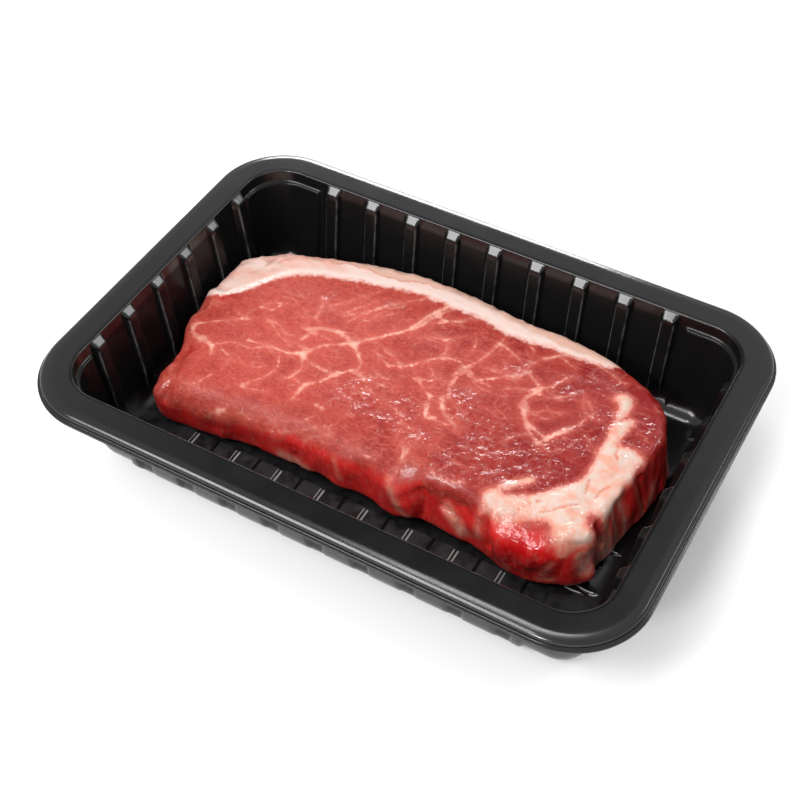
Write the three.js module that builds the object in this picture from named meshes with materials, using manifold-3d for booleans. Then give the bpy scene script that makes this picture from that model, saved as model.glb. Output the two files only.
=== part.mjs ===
// A black thermoformed plastic meat tray with one raw striploin steak lying in it.
// Millimetres, +Z up. The origin is the middle of the footprint, on the surface that the tray
// stands on. +X runs along the tray's long side and +Y runs to the steak's fat edge.

import * as THREE from 'three';
import { mergeVertices } from 'three/addons/utils/BufferGeometryUtils.js';
import Module from 'manifold-3d';

// ---- Tray: driving dimensions -------------------------------------------------------------
const TRAY_HEIGHT = 42;
const SHEET = 0.8;
const RIM_LENGTH = 230;
const RIM_WIDTH = 160;
const RIM_CORNER = 27.2;
const FLANGE = 11.5;
const RIM_EDGE_ROUND = 1.2;
const RIM_SKIRT = 3.0;
const TRIM_LIP = 1.3;
const MOUTH_ROUND = 0.5;

// The wall leans inwards towards the floor and ends in a rounded foot.
const WALL_DRAFT = 0.11;
const FOOT_RADIUS = 9;

// Upright ribs stand proud of the inner wall. Each one starts with a sloping shelf under the rim.
const RIB_PITCH = 18;
const RIBS_LONG_WALL = 9;
const RIBS_SHORT_WALL = 6;
const RIB_ROOT_WIDTH = 6.9;
const RIB_FACE_WIDTH = 4.5;
const RIB_DEPTH = 2.5;
const SHELF_TOP = 0.5;
const SHELF_BOTTOM = 2.9;

// A shallow pocket under the rim in each corner ends in a narrow stacking ledge.
const POCKET_TOP = 4.4;
const POCKET_BOTTOM = 5.2;
const LEDGE_WIDTH = 1.3;
const POCKET_GAP_LONG = 2.6;
const POCKET_GAP_SHORT = 0.4;

// Raised pads cross the floor at the front and the back, with beads and slots in turn.
const PAD_RISE = 1.2;
const PAD_HALF_LENGTH = 77;
const PAD_INNER_Y = 36.8;
const PAD_OUTER_Y = 54;
const PAD_CORNER = 3;
const PAD_MARKS = 16;
const PAD_MARK_PITCH = 9.15;
const BEAD_WIDTH = 1.7;
const BEAD_RISE = 0.6;
const SLOT_WIDTH = 1.0;
const SLOT_DEPTH = 0.5;
const MARK_END_MARGIN = 1;
const PAD_HOLLOW = 0.9;

// A fine raised line runs round the middle of the floor.
const RING_HALF_LENGTH = 88;
const RING_HALF_WIDTH = 31.5;
const RING_CORNER = 10;
const RING_WIDTH = 1.6;
const RING_RISE = 0.6;

// ---- Steak: driving dimensions ------------------------------------------------------------
// The steak rests a hair above the beads, and its two layers keep the same hair between them.
const LAYER_GAP = 0.3;
const STEAK_FOOT = SHEET + PAD_RISE + BEAD_RISE + LAYER_GAP;
const STEAK_TOP = 25.6;
const STEAK_TILT = 0.018;
const STEAK_FOOT_ROUND = 3.4;

// The upper edge's radius and how far the foot stands out past the top. Both change along the
// steak: the left end has the rounder edge, and the right end has the foot that stands out.
const STEAK_SHOULDER = 5;
const STEAK_SHOULDER_CHANGE = 2.4;
const STEAK_SPLAY = 1.0;
const STEAK_SPLAY_CHANGE = -3.2;

// The steak's outline at mid height, anticlockwise from the right end.
const STEAK_OUTLINE = [
  [91.4, 12], [92, 24], [87.8, 35], [79, 42.2], [67.5, 48.6], [53, 53.3], [38, 55.2],
  [20, 55.6], [5, 57.2], [-9, 59], [-23, 58.6], [-39, 56.6], [-57, 51.6], [-72, 47],
  [-86.6, 42], [-94.8, 35.5], [-96.2, 25], [-96.2, 11], [-94.4, -6], [-88.4, -21], [-89.4, -32],
  [-84.5, -39.4], [-73, -39.2], [-60, -37.8], [-46, -34.6], [-23, -34.2], [-8, -34.8],
  [3, -34.6], [14, -36.8], [24, -33.4], [37, -33.8], [47.5, -34.8], [60, -38.2], [73, -36.4],
  [84.6, -30.5], [86.4, -20], [89, -4],
];

// Where the fat cap meets the lean, seen from above, from its left end to its right end.
const CAP_SEAM = [
  [-110, 6], [-93, 10], [-85.5, 14.5], [-79, 21.5], [-73, 29], [-63.5, 35.8], [-52, 39.6],
  [-38, 42.8], [-21, 46.6], [-4, 46], [8, 45.6], [20, 42.8], [33, 44.2], [46, 44.6],
  [58, 44.4], [68, 42.6], [80, 46], [92, 52],
];

// ---- Materials ----------------------------------------------------------------------------
const TRAY_PLASTIC = new THREE.MeshStandardMaterial({ color: 0x161617, roughness: 0.3 });
const LEAN_MEAT = new THREE.MeshStandardMaterial({ color: 0xb8433f, roughness: 0.35 });
const CAP_FAT = new THREE.MeshStandardMaterial({ color: 0xe6c8b4, roughness: 0.45 });

// ---- Solids -------------------------------------------------------------------------------
const wasm = await Module();
wasm.setup();

/** A closed solid from a list of points and a list of triangles. */
function solidFromTriangles(points, triangles) {
  const vertProperties = new Float32Array(points.flat());
  const triVerts = new Uint32Array(triangles.flat());
  return new wasm.Manifold(new wasm.Mesh({ numProp: 3, vertProperties, triVerts }));
}

/** A closed solid from a geometry, with its shared corners merged. */
function solidFromGeometry(geometry) {
  const bare = geometry.clone();
  bare.deleteAttribute('normal');
  bare.deleteAttribute('uv');
  const merged = mergeVertices(bare, 1e-4);
  const vertProperties = new Float32Array(merged.attributes.position.array);
  const triVerts = new Uint32Array(merged.index.array);
  return new wasm.Manifold(new wasm.Mesh({ numProp: 3, vertProperties, triVerts }));
}

/** The triangles between the rings of a stack, each ring with the same number of points. */
function sideTriangles(rings) {
  const count = rings[0].length;
  const triangles = [];
  for (let ring = 0; ring + 1 < rings.length; ring += 1) {
    for (let i = 0; i < count; i += 1) {
      const next = (i + 1) % count;
      const [a, b] = [ring * count + i, ring * count + next];
      const [c, d] = [a + count, b + count];
      triangles.push([a, b, d], [a, d, c]);
    }
  }
  return triangles;
}

/** A closed solid through a stack of rings, with flat ends that may have notches. */
function solidFromRings(rings) {
  const triangles = sideTriangles(rings);
  const capOf = (ring) => {
    const contour = ring.map(([x, y]) => new THREE.Vector2(x, y));
    return THREE.ShapeUtils.triangulateShape(contour, []);
  };
  const last = (rings.length - 1) * rings[0].length;
  capOf(rings[0]).forEach(([a, b, c]) => triangles.push([c, b, a]));
  capOf(rings[rings.length - 1]).forEach(([a, b, c]) => triangles.push([last + a, last + b, last + c]));
  return solidFromTriangles(rings.flat(), triangles);
}

/** A closed solid through a stack of rings, with each end drawn together at a middle point. */
function solidFromRingsAndMiddles(rings, lowMiddle, highMiddle) {
  const count = rings[0].length;
  const triangles = sideTriangles(rings);
  const last = (rings.length - 1) * count;
  const [low, high] = [rings.length * count, rings.length * count + 1];
  for (let i = 0; i < count; i += 1) {
    const next = (i + 1) % count;
    triangles.push([low, next, i], [high, last + i, last + next]);
  }
  return solidFromTriangles([...rings.flat(), lowMiddle, highMiddle], triangles);
}

/** A named mesh of a solid. */
function meshOf(name, solid, material) {
  const { vertProperties, triVerts } = solid.getMesh();
  const geometry = new THREE.BufferGeometry();
  geometry.setAttribute('position', new THREE.BufferAttribute(vertProperties, 3));
  geometry.setIndex(new THREE.BufferAttribute(triVerts, 1));
  geometry.computeVertexNormals();
  const mesh = new THREE.Mesh(geometry, material);
  mesh.name = name;
  return mesh;
}

/** An upright block with a rounded rectangle as its plan. */
function padBlock(halfLength, halfWidth, corner, bottom, top, centreY = 0) {
  const shape = new THREE.Shape();
  const [x, y] = [halfLength - corner, halfWidth - corner];
  shape.absarc(x, -y, corner, -Math.PI / 2, 0);
  shape.absarc(x, y, corner, 0, Math.PI / 2);
  shape.absarc(-x, y, corner, Math.PI / 2, Math.PI);
  shape.absarc(-x, -y, corner, Math.PI, 1.5 * Math.PI);
  const geometry = new THREE.ExtrudeGeometry(shape, {
    depth: top - bottom,
    bevelEnabled: false,
    curveSegments: 6,
  });
  return solidFromGeometry(geometry.translate(0, centreY, bottom));
}

/** A plain upright block. */
function barBlock(centreX, centreY, sizeX, sizeY, bottom, top) {
  const geometry = new THREE.BoxGeometry(sizeX, sizeY, top - bottom);
  return solidFromGeometry(geometry.translate(centreX, centreY, (bottom + top) / 2));
}

// ---- Tray: stations round the mouth -------------------------------------------------------
const MOUTH_HALF_LENGTH = RIM_LENGTH / 2 - FLANGE;
const MOUTH_HALF_WIDTH = RIM_WIDTH / 2 - FLANGE;
const MOUTH_CORNER = RIM_CORNER - FLANGE;
const CORNER_STEPS = 8;
const CORNER_MARGIN = 0.5;
const CUTTER_MARGIN = 1;

/** Distances along a wall where its section changes, with the rib and the pocket at each. */
function wallStops(ribCount, halfStraight, pocketGap) {
  const lastRib = ((ribCount - 1) / 2) * RIB_PITCH;
  const pocketStart = lastRib + RIB_ROOT_WIDTH / 2 + pocketGap;
  const pocketFull = Math.min(pocketStart + LEDGE_WIDTH, halfStraight - CORNER_MARGIN);
  const stops = [{ along: -pocketFull, rib: 0, pocket: 1 }, { along: -pocketStart, rib: 0, pocket: 0 }];
  for (let i = 0; i < ribCount; i += 1) {
    const middle = i * RIB_PITCH - lastRib;
    stops.push({ along: middle - RIB_ROOT_WIDTH / 2, rib: 0, pocket: 0 });
    stops.push({ along: middle - RIB_FACE_WIDTH / 2, rib: 1, pocket: 0 });
    stops.push({ along: middle + RIB_FACE_WIDTH / 2, rib: 1, pocket: 0 });
    stops.push({ along: middle + RIB_ROOT_WIDTH / 2, rib: 0, pocket: 0 });
  }
  stops.push({ along: pocketStart, rib: 0, pocket: 0 }, { along: pocketFull, rib: 0, pocket: 1 });
  return stops;
}

/** Stations anticlockwise round the mouth: a point, its outward normal, its rib and its pocket. */
function mouthStations() {
  const [halfX, halfY] = [MOUTH_HALF_LENGTH, MOUTH_HALF_WIDTH];
  const [cornerX, cornerY] = [halfX - MOUTH_CORNER, halfY - MOUTH_CORNER];
  const longStops = wallStops(RIBS_LONG_WALL, cornerX, POCKET_GAP_LONG);
  const shortStops = wallStops(RIBS_SHORT_WALL, cornerY, POCKET_GAP_SHORT);
  const walls = [
    { stops: longStops, turn: 0, distance: halfY, corner: [cornerX, -cornerY] },
    { stops: shortStops, turn: 1, distance: halfX, corner: [cornerX, cornerY] },
    { stops: longStops, turn: 2, distance: halfY, corner: [-cornerX, cornerY] },
    { stops: shortStops, turn: 3, distance: halfX, corner: [-cornerX, -cornerY] },
  ];
  const stations = [];
  walls.forEach(({ stops, turn, distance, corner }) => {
    const heading = (turn * Math.PI) / 2;
    const [ux, uy] = [Math.cos(heading), Math.sin(heading)];
    const [nx, ny] = [uy, -ux];
    stops.forEach(({ along, rib, pocket }) => {
      const [x, y] = [ux * along + nx * distance, uy * along + ny * distance];
      stations.push({ x, y, nx, ny, rib, pocket });
    });
    for (let step = 0; step <= CORNER_STEPS; step += 1) {
      const angle = heading - Math.PI / 2 + ((step / CORNER_STEPS) * Math.PI) / 2;
      const [cx, cy] = [Math.cos(angle), Math.sin(angle)];
      const [x, y] = [corner[0] + cx * MOUTH_CORNER, corner[1] + cy * MOUTH_CORNER];
      stations.push({ x, y, nx: cx, ny: cy, rib: 0, pocket: 1 });
    }
  });
  return stations;
}

/** How far along a rise from one depth to another a depth is, from 0 to 1. */
function rise(depth, from, to) {
  return Math.min(1, Math.max(0, (depth - from) / (to - from)));
}

/** A ring of the wall at a depth under the rim, pulled in from the mouth by an inset. */
function wallRing(stations, depth, inset) {
  const shelf = rise(depth, SHELF_TOP, SHELF_BOTTOM) * RIB_DEPTH;
  const ledge = rise(depth, POCKET_TOP, POCKET_BOTTOM) * LEDGE_WIDTH;
  return stations.map(({ x, y, nx, ny, rib, pocket }) => {
    const pull = inset + rib * shelf + pocket * ledge;
    return [x - nx * pull, y - ny * pull, TRAY_HEIGHT - depth];
  });
}

/** The stack of rings down the inner face, or down the outer face when grown by the sheet. */
function wallRings(stations, grow) {
  const footStart = TRAY_HEIGHT - SHEET - FOOT_RADIUS;
  const upright = [SHELF_BOTTOM, POCKET_TOP, POCKET_BOTTOM, footStart];
  const rings = upright.map((depth) => wallRing(stations, depth, WALL_DRAFT * depth - grow));
  [30, 60, 90].forEach((degrees) => {
    const angle = (degrees * Math.PI) / 180;
    const radius = FOOT_RADIUS + grow;
    const depth = footStart + radius * Math.sin(angle);
    const inset = WALL_DRAFT * footStart + FOOT_RADIUS - radius * Math.cos(angle);
    rings.push(wallRing(stations, depth, inset));
  });
  return rings;
}

/** The whole space inside the tray, up past the rim. */
function cavitySolid(stations) {
  const above = stations.map(({ x, y, nx, ny }) => (
    [x + nx * MOUTH_ROUND, y + ny * MOUTH_ROUND, TRAY_HEIGHT + CUTTER_MARGIN]));
  const mouth = above.map(([x, y]) => [x, y, TRAY_HEIGHT]);
  const edge = wallRing(stations, MOUTH_ROUND, 0);
  return solidFromRings([above, mouth, edge, ...wallRings(stations, 0)].reverse());
}

/** The cup's outer form, up into the thickness of the flange. */
function cupSolid(stations) {
  const top = wallRing(stations, SHEET / 2, -SHEET);
  return solidFromRings([top, ...wallRings(stations, SHEET)].reverse());
}

/** The flange round the mouth, with its rounded edge, its skirt and its trim lip. */
function flangeSolid() {
  const outer = FLANGE;
  const inner = -CUTTER_MARGIN;
  const section = [[inner, 0], [outer - RIM_EDGE_ROUND, 0]];
  [30, 60, 90].forEach((degrees) => {
    const angle = (degrees * Math.PI) / 180;
    const across = outer - RIM_EDGE_ROUND * (1 - Math.sin(angle));
    section.push([across, RIM_EDGE_ROUND * (Math.cos(angle) - 1)]);
  });
  section.push([outer, -RIM_SKIRT], [outer + TRIM_LIP, -RIM_SKIRT]);
  section.push([outer + TRIM_LIP, -RIM_SKIRT - SHEET], [outer - SHEET, -RIM_SKIRT - SHEET]);
  section.push([outer - SHEET, -SHEET], [inner, -SHEET]);

  const corners = [[1, -1], [1, 1], [-1, 1], [-1, -1]];
  const ringAt = ([across, height]) => corners.flatMap(([signX, signY], quarter) => {
    const centreX = signX * (MOUTH_HALF_LENGTH - MOUTH_CORNER);
    const centreY = signY * (MOUTH_HALF_WIDTH - MOUTH_CORNER);
    return Array.from({ length: CORNER_STEPS + 1 }, (_, step) => {
      const angle = ((quarter - 1 + step / CORNER_STEPS) * Math.PI) / 2;
      const radius = MOUTH_CORNER + across;
      const [x, y] = [centreX + Math.cos(angle) * radius, centreY + Math.sin(angle) * radius];
      return [x, y, TRAY_HEIGHT + height];
    });
  });
  const rings = section.map(ringAt);
  const count = rings[0].length;
  const triangles = [];
  rings.forEach((_, ring) => {
    for (let i = 0; i < count; i += 1) {
      const next = (i + 1) % count;
      const following = (ring + 1) % rings.length;
      const [a, b] = [ring * count + i, ring * count + next];
      const [c, d] = [following * count + i, following * count + next];
      triangles.push([a, d, b], [a, c, d]);
    }
  });
  return solidFromTriangles(rings.flat(), triangles);
}

/** What stands up from the floor: two pads with beads and slots, and the fine ring. */
function floorRelief() {
  const floor = SHEET;
  const padTop = floor + PAD_RISE;
  const halfWidth = (PAD_OUTER_Y - PAD_INNER_Y) / 2;
  let relief = null;
  [-1, 1].forEach((side) => {
    const middle = (side * (PAD_OUTER_Y + PAD_INNER_Y)) / 2;
    let pad = padBlock(PAD_HALF_LENGTH, halfWidth, PAD_CORNER, floor - SHEET / 2, padTop, middle);
    for (let mark = 0; mark < PAD_MARKS; mark += 1) {
      const x = (mark - (PAD_MARKS - 1) / 2) * PAD_MARK_PITCH;
      if (mark % 2 === 0) {
        const length = 2 * (halfWidth - MARK_END_MARGIN);
        pad = pad.add(barBlock(x, middle, BEAD_WIDTH, length, floor, padTop + BEAD_RISE));
      } else {
        const length = 2 * (halfWidth + CUTTER_MARGIN);
        const slotTop = padTop + CUTTER_MARGIN;
        pad = pad.subtract(barBlock(x, middle, SLOT_WIDTH, length, padTop - SLOT_DEPTH, slotTop));
      }
    }
    relief = relief ? relief.add(pad) : pad;
  });
  const [length, width] = [RING_HALF_LENGTH, RING_HALF_WIDTH];
  const outer = padBlock(length, width, RING_CORNER, floor - SHEET / 2, floor + RING_RISE);
  const innerCorner = RING_CORNER - RING_WIDTH;
  const inner = padBlock(length - RING_WIDTH, width - RING_WIDTH, innerCorner, 0, TRAY_HEIGHT);
  return relief.add(outer.subtract(inner));
}

/** The hollows under the pads, so that the floor stays thin there. */
function padHollows() {
  const halfWidth = (PAD_OUTER_Y - PAD_INNER_Y) / 2 - SHEET;
  const halfLength = PAD_HALF_LENGTH - SHEET;
  const middle = (PAD_OUTER_Y + PAD_INNER_Y) / 2;
  const corner = PAD_CORNER - SHEET;
  const hollow = (y) => padBlock(halfLength, halfWidth, corner, -CUTTER_MARGIN, PAD_HOLLOW, y);
  return hollow(-middle).add(hollow(middle));
}

function traySolid() {
  const stations = mouthStations();
  const shell = cupSolid(stations).add(flangeSolid()).subtract(cavitySolid(stations));
  return shell.add(floorRelief()).subtract(padHollows());
}

// ---- Steak --------------------------------------------------------------------------------
const OUTLINE_STEPS = 3;
const SEAM_STEPS = 2;
const SPINE_SHARE = 0.55;
const SPINE_Y = 9;
const FOOT_RING_SHARE = 0.5;
const TOP_RING_SHARES = [0.7, 0.4];

/** The point of the steak's spine, a line along its middle, that a point of it is drawn to. */
function spinePoint(x) {
  return [x * SPINE_SHARE, SPINE_Y];
}

/** The height of the steak's upper face, which rises a little to the right. */
function steakTop(x) {
  return STEAK_TOP + STEAK_TILT * x;
}

/** Stations round the steak: a point of the outline, its way in, and the form of its side. */
function steakStations() {
  const controls = STEAK_OUTLINE.map(([x, y]) => new THREE.Vector3(x, y, 0));
  const curve = new THREE.CatmullRomCurve3(controls, true, 'catmullrom', 0.5);
  const count = STEAK_OUTLINE.length * OUTLINE_STEPS;
  return Array.from({ length: count }, (_, i) => {
    const { x, y } = curve.getPoint(i / count);
    const [spineX, spineY] = spinePoint(x);
    const reach = Math.hypot(spineX - x, spineY - y);
    const inX = (spineX - x) / reach;
    const inY = (spineY - y) / reach;
    const shoulder = STEAK_SHOULDER + STEAK_SHOULDER_CHANGE * inX;
    const splay = STEAK_SPLAY + STEAK_SPLAY_CHANGE * inX;
    return { x, y, inX, inY, shoulder, splay, top: steakTop(x) };
  });
}

/** A ring round the steak's side. The foot stands out further than the top by the splay. */
function sideRing(stations, pullOf, heightOf) {
  return stations.map((station) => {
    const height = heightOf(station);
    const share = (height - STEAK_FOOT) / (station.top - STEAK_FOOT);
    const pull = pullOf(station) - station.splay * (0.5 - share);
    return [station.x + station.inX * pull, station.y + station.inY * pull, height];
  });
}

/** A ring of the rounded edge at the steak's foot. */
function footRing(stations, degrees) {
  const angle = (degrees * Math.PI) / 180;
  const pull = () => STEAK_FOOT_ROUND * (1 - Math.sin(angle));
  return sideRing(stations, pull, () => STEAK_FOOT + STEAK_FOOT_ROUND * (1 - Math.cos(angle)));
}

/** A ring of the rounded edge round the steak's upper face. */
function shoulderRing(stations, degrees) {
  const angle = (degrees * Math.PI) / 180;
  const pull = ({ shoulder }) => shoulder * (1 - Math.cos(angle));
  return sideRing(stations, pull, ({ shoulder, top }) => top - shoulder * (1 - Math.sin(angle)));
}

/** A ring drawn in to a share of its distance from the spine. */
function drawnIn(ring, share) {
  return ring.map(([x, y, z]) => {
    const [spineX, spineY] = spinePoint(x);
    return [spineX + (x - spineX) * share, spineY + (y - spineY) * share, z];
  });
}

function steakSolid() {
  const stations = steakStations();
  const footEdge = footRing(stations, 0);
  const topEdge = shoulderRing(stations, 90);
  const rings = [
    drawnIn(footEdge, FOOT_RING_SHARE), footEdge, footRing(stations, 45), footRing(stations, 90),
    shoulderRing(stations, 0), shoulderRing(stations, 30), shoulderRing(stations, 60), topEdge,
    ...TOP_RING_SHARES.map((share) => drawnIn(topEdge, share)),
  ];
  return solidFromRingsAndMiddles(rings, [0, SPINE_Y, STEAK_FOOT], [0, SPINE_Y, steakTop(0)]);
}

/** Everything on the fat side of the seam, moved away from the seam by a distance. */
function fatSide(shift) {
  const controls = CAP_SEAM.map(([x, y]) => new THREE.Vector3(x, y, 0));
  const curve = new THREE.CatmullRomCurve3(controls, false, 'catmullrom', 0.5);
  const count = CAP_SEAM.length * SEAM_STEPS;
  const shape = new THREE.Shape();
  for (let i = 0; i <= count; i += 1) {
    const point = curve.getPoint(i / count);
    const tangent = curve.getTangent(i / count);
    const [x, y] = [point.x - tangent.y * shift, point.y + tangent.x * shift];
    if (i === 0) shape.moveTo(x, y);
    else shape.lineTo(x, y);
  }
  shape.lineTo(RIM_LENGTH / 2, RIM_WIDTH / 2);
  shape.lineTo(-RIM_LENGTH / 2, RIM_WIDTH / 2);
  const geometry = new THREE.ExtrudeGeometry(shape, { depth: TRAY_HEIGHT, bevelEnabled: false });
  return solidFromGeometry(geometry);
}

// ---- The part -----------------------------------------------------------------------------
const steak = steakSolid();
const part = new THREE.Group();
part.add(meshOf('tray', traySolid(), TRAY_PLASTIC));
part.add(meshOf('steak_lean', steak.subtract(fatSide(-LAYER_GAP / 2)), LEAN_MEAT));
part.add(meshOf('steak_fat_cap', steak.intersect(fatSide(LAYER_GAP / 2)), CAP_FAT));

export default part;
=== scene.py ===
import math

import bpy
import numpy as np
from mathutils import Matrix, Vector
from mathutils.geometry import delaunay_2d_cdt


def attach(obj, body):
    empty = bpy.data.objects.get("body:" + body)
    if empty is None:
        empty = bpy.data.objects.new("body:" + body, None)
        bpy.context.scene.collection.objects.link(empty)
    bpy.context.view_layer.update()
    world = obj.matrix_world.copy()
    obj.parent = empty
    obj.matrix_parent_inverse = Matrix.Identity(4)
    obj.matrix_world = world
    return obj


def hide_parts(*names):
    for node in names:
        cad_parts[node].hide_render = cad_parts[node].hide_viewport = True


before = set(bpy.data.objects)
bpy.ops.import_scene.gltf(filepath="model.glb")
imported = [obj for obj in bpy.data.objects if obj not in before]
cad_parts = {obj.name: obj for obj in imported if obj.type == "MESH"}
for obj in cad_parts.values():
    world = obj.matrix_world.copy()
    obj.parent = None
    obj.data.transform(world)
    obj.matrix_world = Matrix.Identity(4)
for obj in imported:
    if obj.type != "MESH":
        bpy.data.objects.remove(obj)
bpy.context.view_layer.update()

# All sizes below are in millimetres. MM turns them into Blender's metres.
MM = 0.001
# How many points line_distance takes at once, to spare memory.
CHUNK = 20000


# ---- Noise and curves -----------------------------------------------------------------------
def lattice(ix, iy, iz, seed):
    """A repeatable random number from -1 to 1 for each whole-number cell corner."""
    with np.errstate(over="ignore"):
        h = ix.astype(np.uint32) * np.uint32(0x27D4EB2D)
        h ^= iy.astype(np.uint32) * np.uint32(0x165667B1)
        h ^= iz.astype(np.uint32) * np.uint32(0x9E3779B1)
        h ^= np.uint32(seed * 0x85EBCA6B & 0xFFFFFFFF)
        h ^= h >> np.uint32(15)
        h *= np.uint32(0x2C1B3C6D)
        h ^= h >> np.uint32(12)
        h *= np.uint32(0x297A2D39)
        h ^= h >> np.uint32(15)
    return h / 2147483648.0 - 1.0


def noise(points, size, seed):
    """Smooth noise from -1 to 1 at points (n, 3), with blobs of about this size."""
    p = np.asarray(points, float) / size + 1000.0
    base = np.floor(p)
    f = p - base
    w = f * f * f * (f * (f * 6 - 15) + 10)
    cell = base.astype(np.int64)
    total = 0.0
    for dx in (0, 1):
        wx = w[:, 0] if dx else 1 - w[:, 0]
        for dy in (0, 1):
            wy = w[:, 1] if dy else 1 - w[:, 1]
            for dz in (0, 1):
                wz = w[:, 2] if dz else 1 - w[:, 2]
                corner = lattice(cell[:, 0] + dx, cell[:, 1] + dy, cell[:, 2] + dz, seed)
                total = total + corner * wx * wy * wz
    return total


def fractal(points, size, octaves, seed):
    """Noise summed over octaves, each half the size and half the height of the one before."""
    total = 0.0
    for octave in range(octaves):
        total = total + noise(points, size / 2**octave, seed + octave) / 2**octave
    return total


def ramp(value, low, high):
    """A smooth step from 0 at low to 1 at high."""
    t = np.clip((np.asarray(value, float) - low) / (high - low), 0, 1)
    return t * t * (3 - 2 * t)


def catmull_rom(controls, steps, closed):
    """Points on a uniform Catmull-Rom curve through the control points."""
    c = np.asarray(controls, float)
    if closed:
        c = np.vstack([c[-1:], c, c[:2]])
    else:
        c = np.vstack([2 * c[:1] - c[1:2], c, 2 * c[-1:] - c[-2:-1]])
    t = (np.arange(steps) / steps)[:, None]
    spans = []
    for p0, p1, p2, p3 in zip(c, c[1:], c[2:], c[3:]):
        spans.append(0.5 * (2 * p1 + (p2 - p0) * t + (2 * p0 - 5 * p1 + 4 * p2 - p3) * t**2
                            + (3 * p1 - p0 - 3 * p2 + p3) * t**3))
    points = np.vstack(spans)
    return points if closed else np.vstack([points, c[-2:-1]])


def resample(points, count):
    """count + 1 points at equal distances along an open line."""
    points = np.asarray(points, float)
    lengths = np.linalg.norm(np.diff(points, axis=0), axis=1)
    along = np.concatenate([[0], np.cumsum(lengths)])
    wanted = np.linspace(0, along[-1], count + 1)
    return np.stack([np.interp(wanted, along, points[:, k]) for k in range(points.shape[1])], 1)


def line_distance(points, line):
    """For each point (n, 2): the distance to a line of points, and how far along it, 0 to 1."""
    line = np.asarray(line, float)
    a, d = line[:-1], np.diff(line, axis=0)
    squared = np.maximum((d * d).sum(1), 1e-12)
    along = np.concatenate([[0], np.cumsum(np.sqrt(squared))])
    distance, share = np.empty(len(points)), np.empty(len(points))
    for start in range(0, len(points), CHUNK):
        part = slice(start, start + CHUNK)
        p = points[part]
        rel = p[:, None] - a[None]
        t = np.clip((rel * d).sum(2) / squared, 0, 1)
        gap = rel - d * t[..., None]
        gap = (gap * gap).sum(2)
        best = gap.argmin(1)
        rows = np.arange(len(p))
        distance[part] = np.sqrt(gap[rows, best])
        on = along[best] + t[rows, best] * np.sqrt(squared[best])
        share[part] = on / along[-1]
    return distance, share


def inside_polygon(points, polygon):
    """True for each point (n, 2) that lies inside a closed polygon."""
    x, y = points[:, 0], points[:, 1]
    hit = np.zeros(len(points), bool)
    polygon = np.asarray(polygon, float)
    for (x0, y0), (x1, y1) in zip(polygon, np.roll(polygon, -1, axis=0)):
        if y0 == y1:
            continue
        crosses = (y0 > y) != (y1 > y)
        hit ^= crosses & (x < (x1 - x0) * (y - y0) / (y1 - y0) + x0)
    return hit


def mesh_object(name, vertices, faces, material, values):
    """A smooth-shaded mesh object from millimetre vertices, with named values on its points."""
    mesh = bpy.data.meshes.new(name)
    mesh.from_pydata((np.asarray(vertices) * MM).tolist(), [], faces)
    mesh.polygons.foreach_set("use_smooth", np.ones(len(mesh.polygons), bool))
    for key, numbers in values.items():
        layer = mesh.attributes.new(key, "FLOAT", "POINT")
        layer.data.foreach_set("value", np.asarray(numbers, np.float32))
    mesh.materials.append(material)
    mesh.validate()
    mesh.update()
    obj = bpy.data.objects.new(name, mesh)
    bpy.context.scene.collection.objects.link(obj)
    return obj


def ring_quads(count, rings):
    """Quads between stacked rings of count points each, facing out when the rings rise."""
    i = np.arange(count)
    j = (i + 1) % count
    quads = []
    for low in range(0, (rings - 1) * count, count):
        high = low + count
        quads.append(np.stack([low + i, low + j, high + j, high + i], 1))
    return np.vstack(quads)


# ---- Tray: the sizes of the CAD -------------------------------------------------------------
TRAY_HEIGHT = 42.0
SHEET = 0.8
FLANGE = 11.5
MOUTH_HALF_LENGTH = 230 / 2 - FLANGE
MOUTH_HALF_WIDTH = 160 / 2 - FLANGE
MOUTH_CORNER = 27.2 - FLANGE
RIM_EDGE_ROUND = 1.2
RIM_SKIRT = 3.0
TRIM_LIP = 1.3
WALL_DRAFT = 0.11
FOOT_RADIUS = 9.0
FOOT_START = TRAY_HEIGHT - SHEET - FOOT_RADIUS
RIB_PITCH = 18.0
RIB_ROOT_WIDTH = 6.9
RIB_FACE_WIDTH = 4.5
RIB_DEPTH = 2.5
SHELF_TOP, SHELF_BOTTOM = 0.5, 2.9
POCKET_TOP, POCKET_BOTTOM = 4.4, 5.2
LEDGE_WIDTH = 1.3
PAD_RISE = 1.2
PAD_HALF_LENGTH = 77.0
PAD_INNER_Y, PAD_OUTER_Y = 36.8, 54.0
PAD_CORNER = 3.0
PAD_MARKS = 16
PAD_MARK_PITCH = 9.15
BEAD_WIDTH, BEAD_RISE = 1.7, 0.6
BEAD_CORNER = 0.8
SLOT_WIDTH, SLOT_DEPTH = 1.0, 0.5
RING_HALF_LENGTH, RING_HALF_WIDTH, RING_CORNER = 88.0, 31.5, 10.0
RING_WIDTH, RING_RISE = 1.6, 0.6

# The finer forms that only show close up. The mouth's edge is rounded, ribs and pockets begin
# softly, the ribs run out in the foot, and the shelves of the front ribs sit lower.
MOUTH_FILLET = 0.6
FORM_ROUND = 0.5
RIB_END, RIB_FADE = 39.5, 9.0
FRONT_SHELF_LOWER = 1.9
# Places beside a rib's middle, close together at its fold, and the reach of the painted highlight
# line along the fold.
RIB_SIDES = (0.0, 0.9, 1.7, 2.05, 2.35, 2.65, 2.95, 3.25, 3.6, 4.1, 5.4, 7.2, 9.0)
RIB_HIGHLIGHT_REACH = 0.36
# The rim's edge as arcs: the slope where each ends, and its radius. Its bevel catches the light.
RIM_EDGE = [(15, 0.35), (30, 0.35), (33, 6.4), (36, 6.4), (39, 6.4), (56, 0.55), (73, 0.55),
            (90, 0.55)]
# The flange's outer part bends down: how wide it is and how far it drops.
FLANGE_BEND, FLANGE_DROP = 3.2, 0.3
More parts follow.
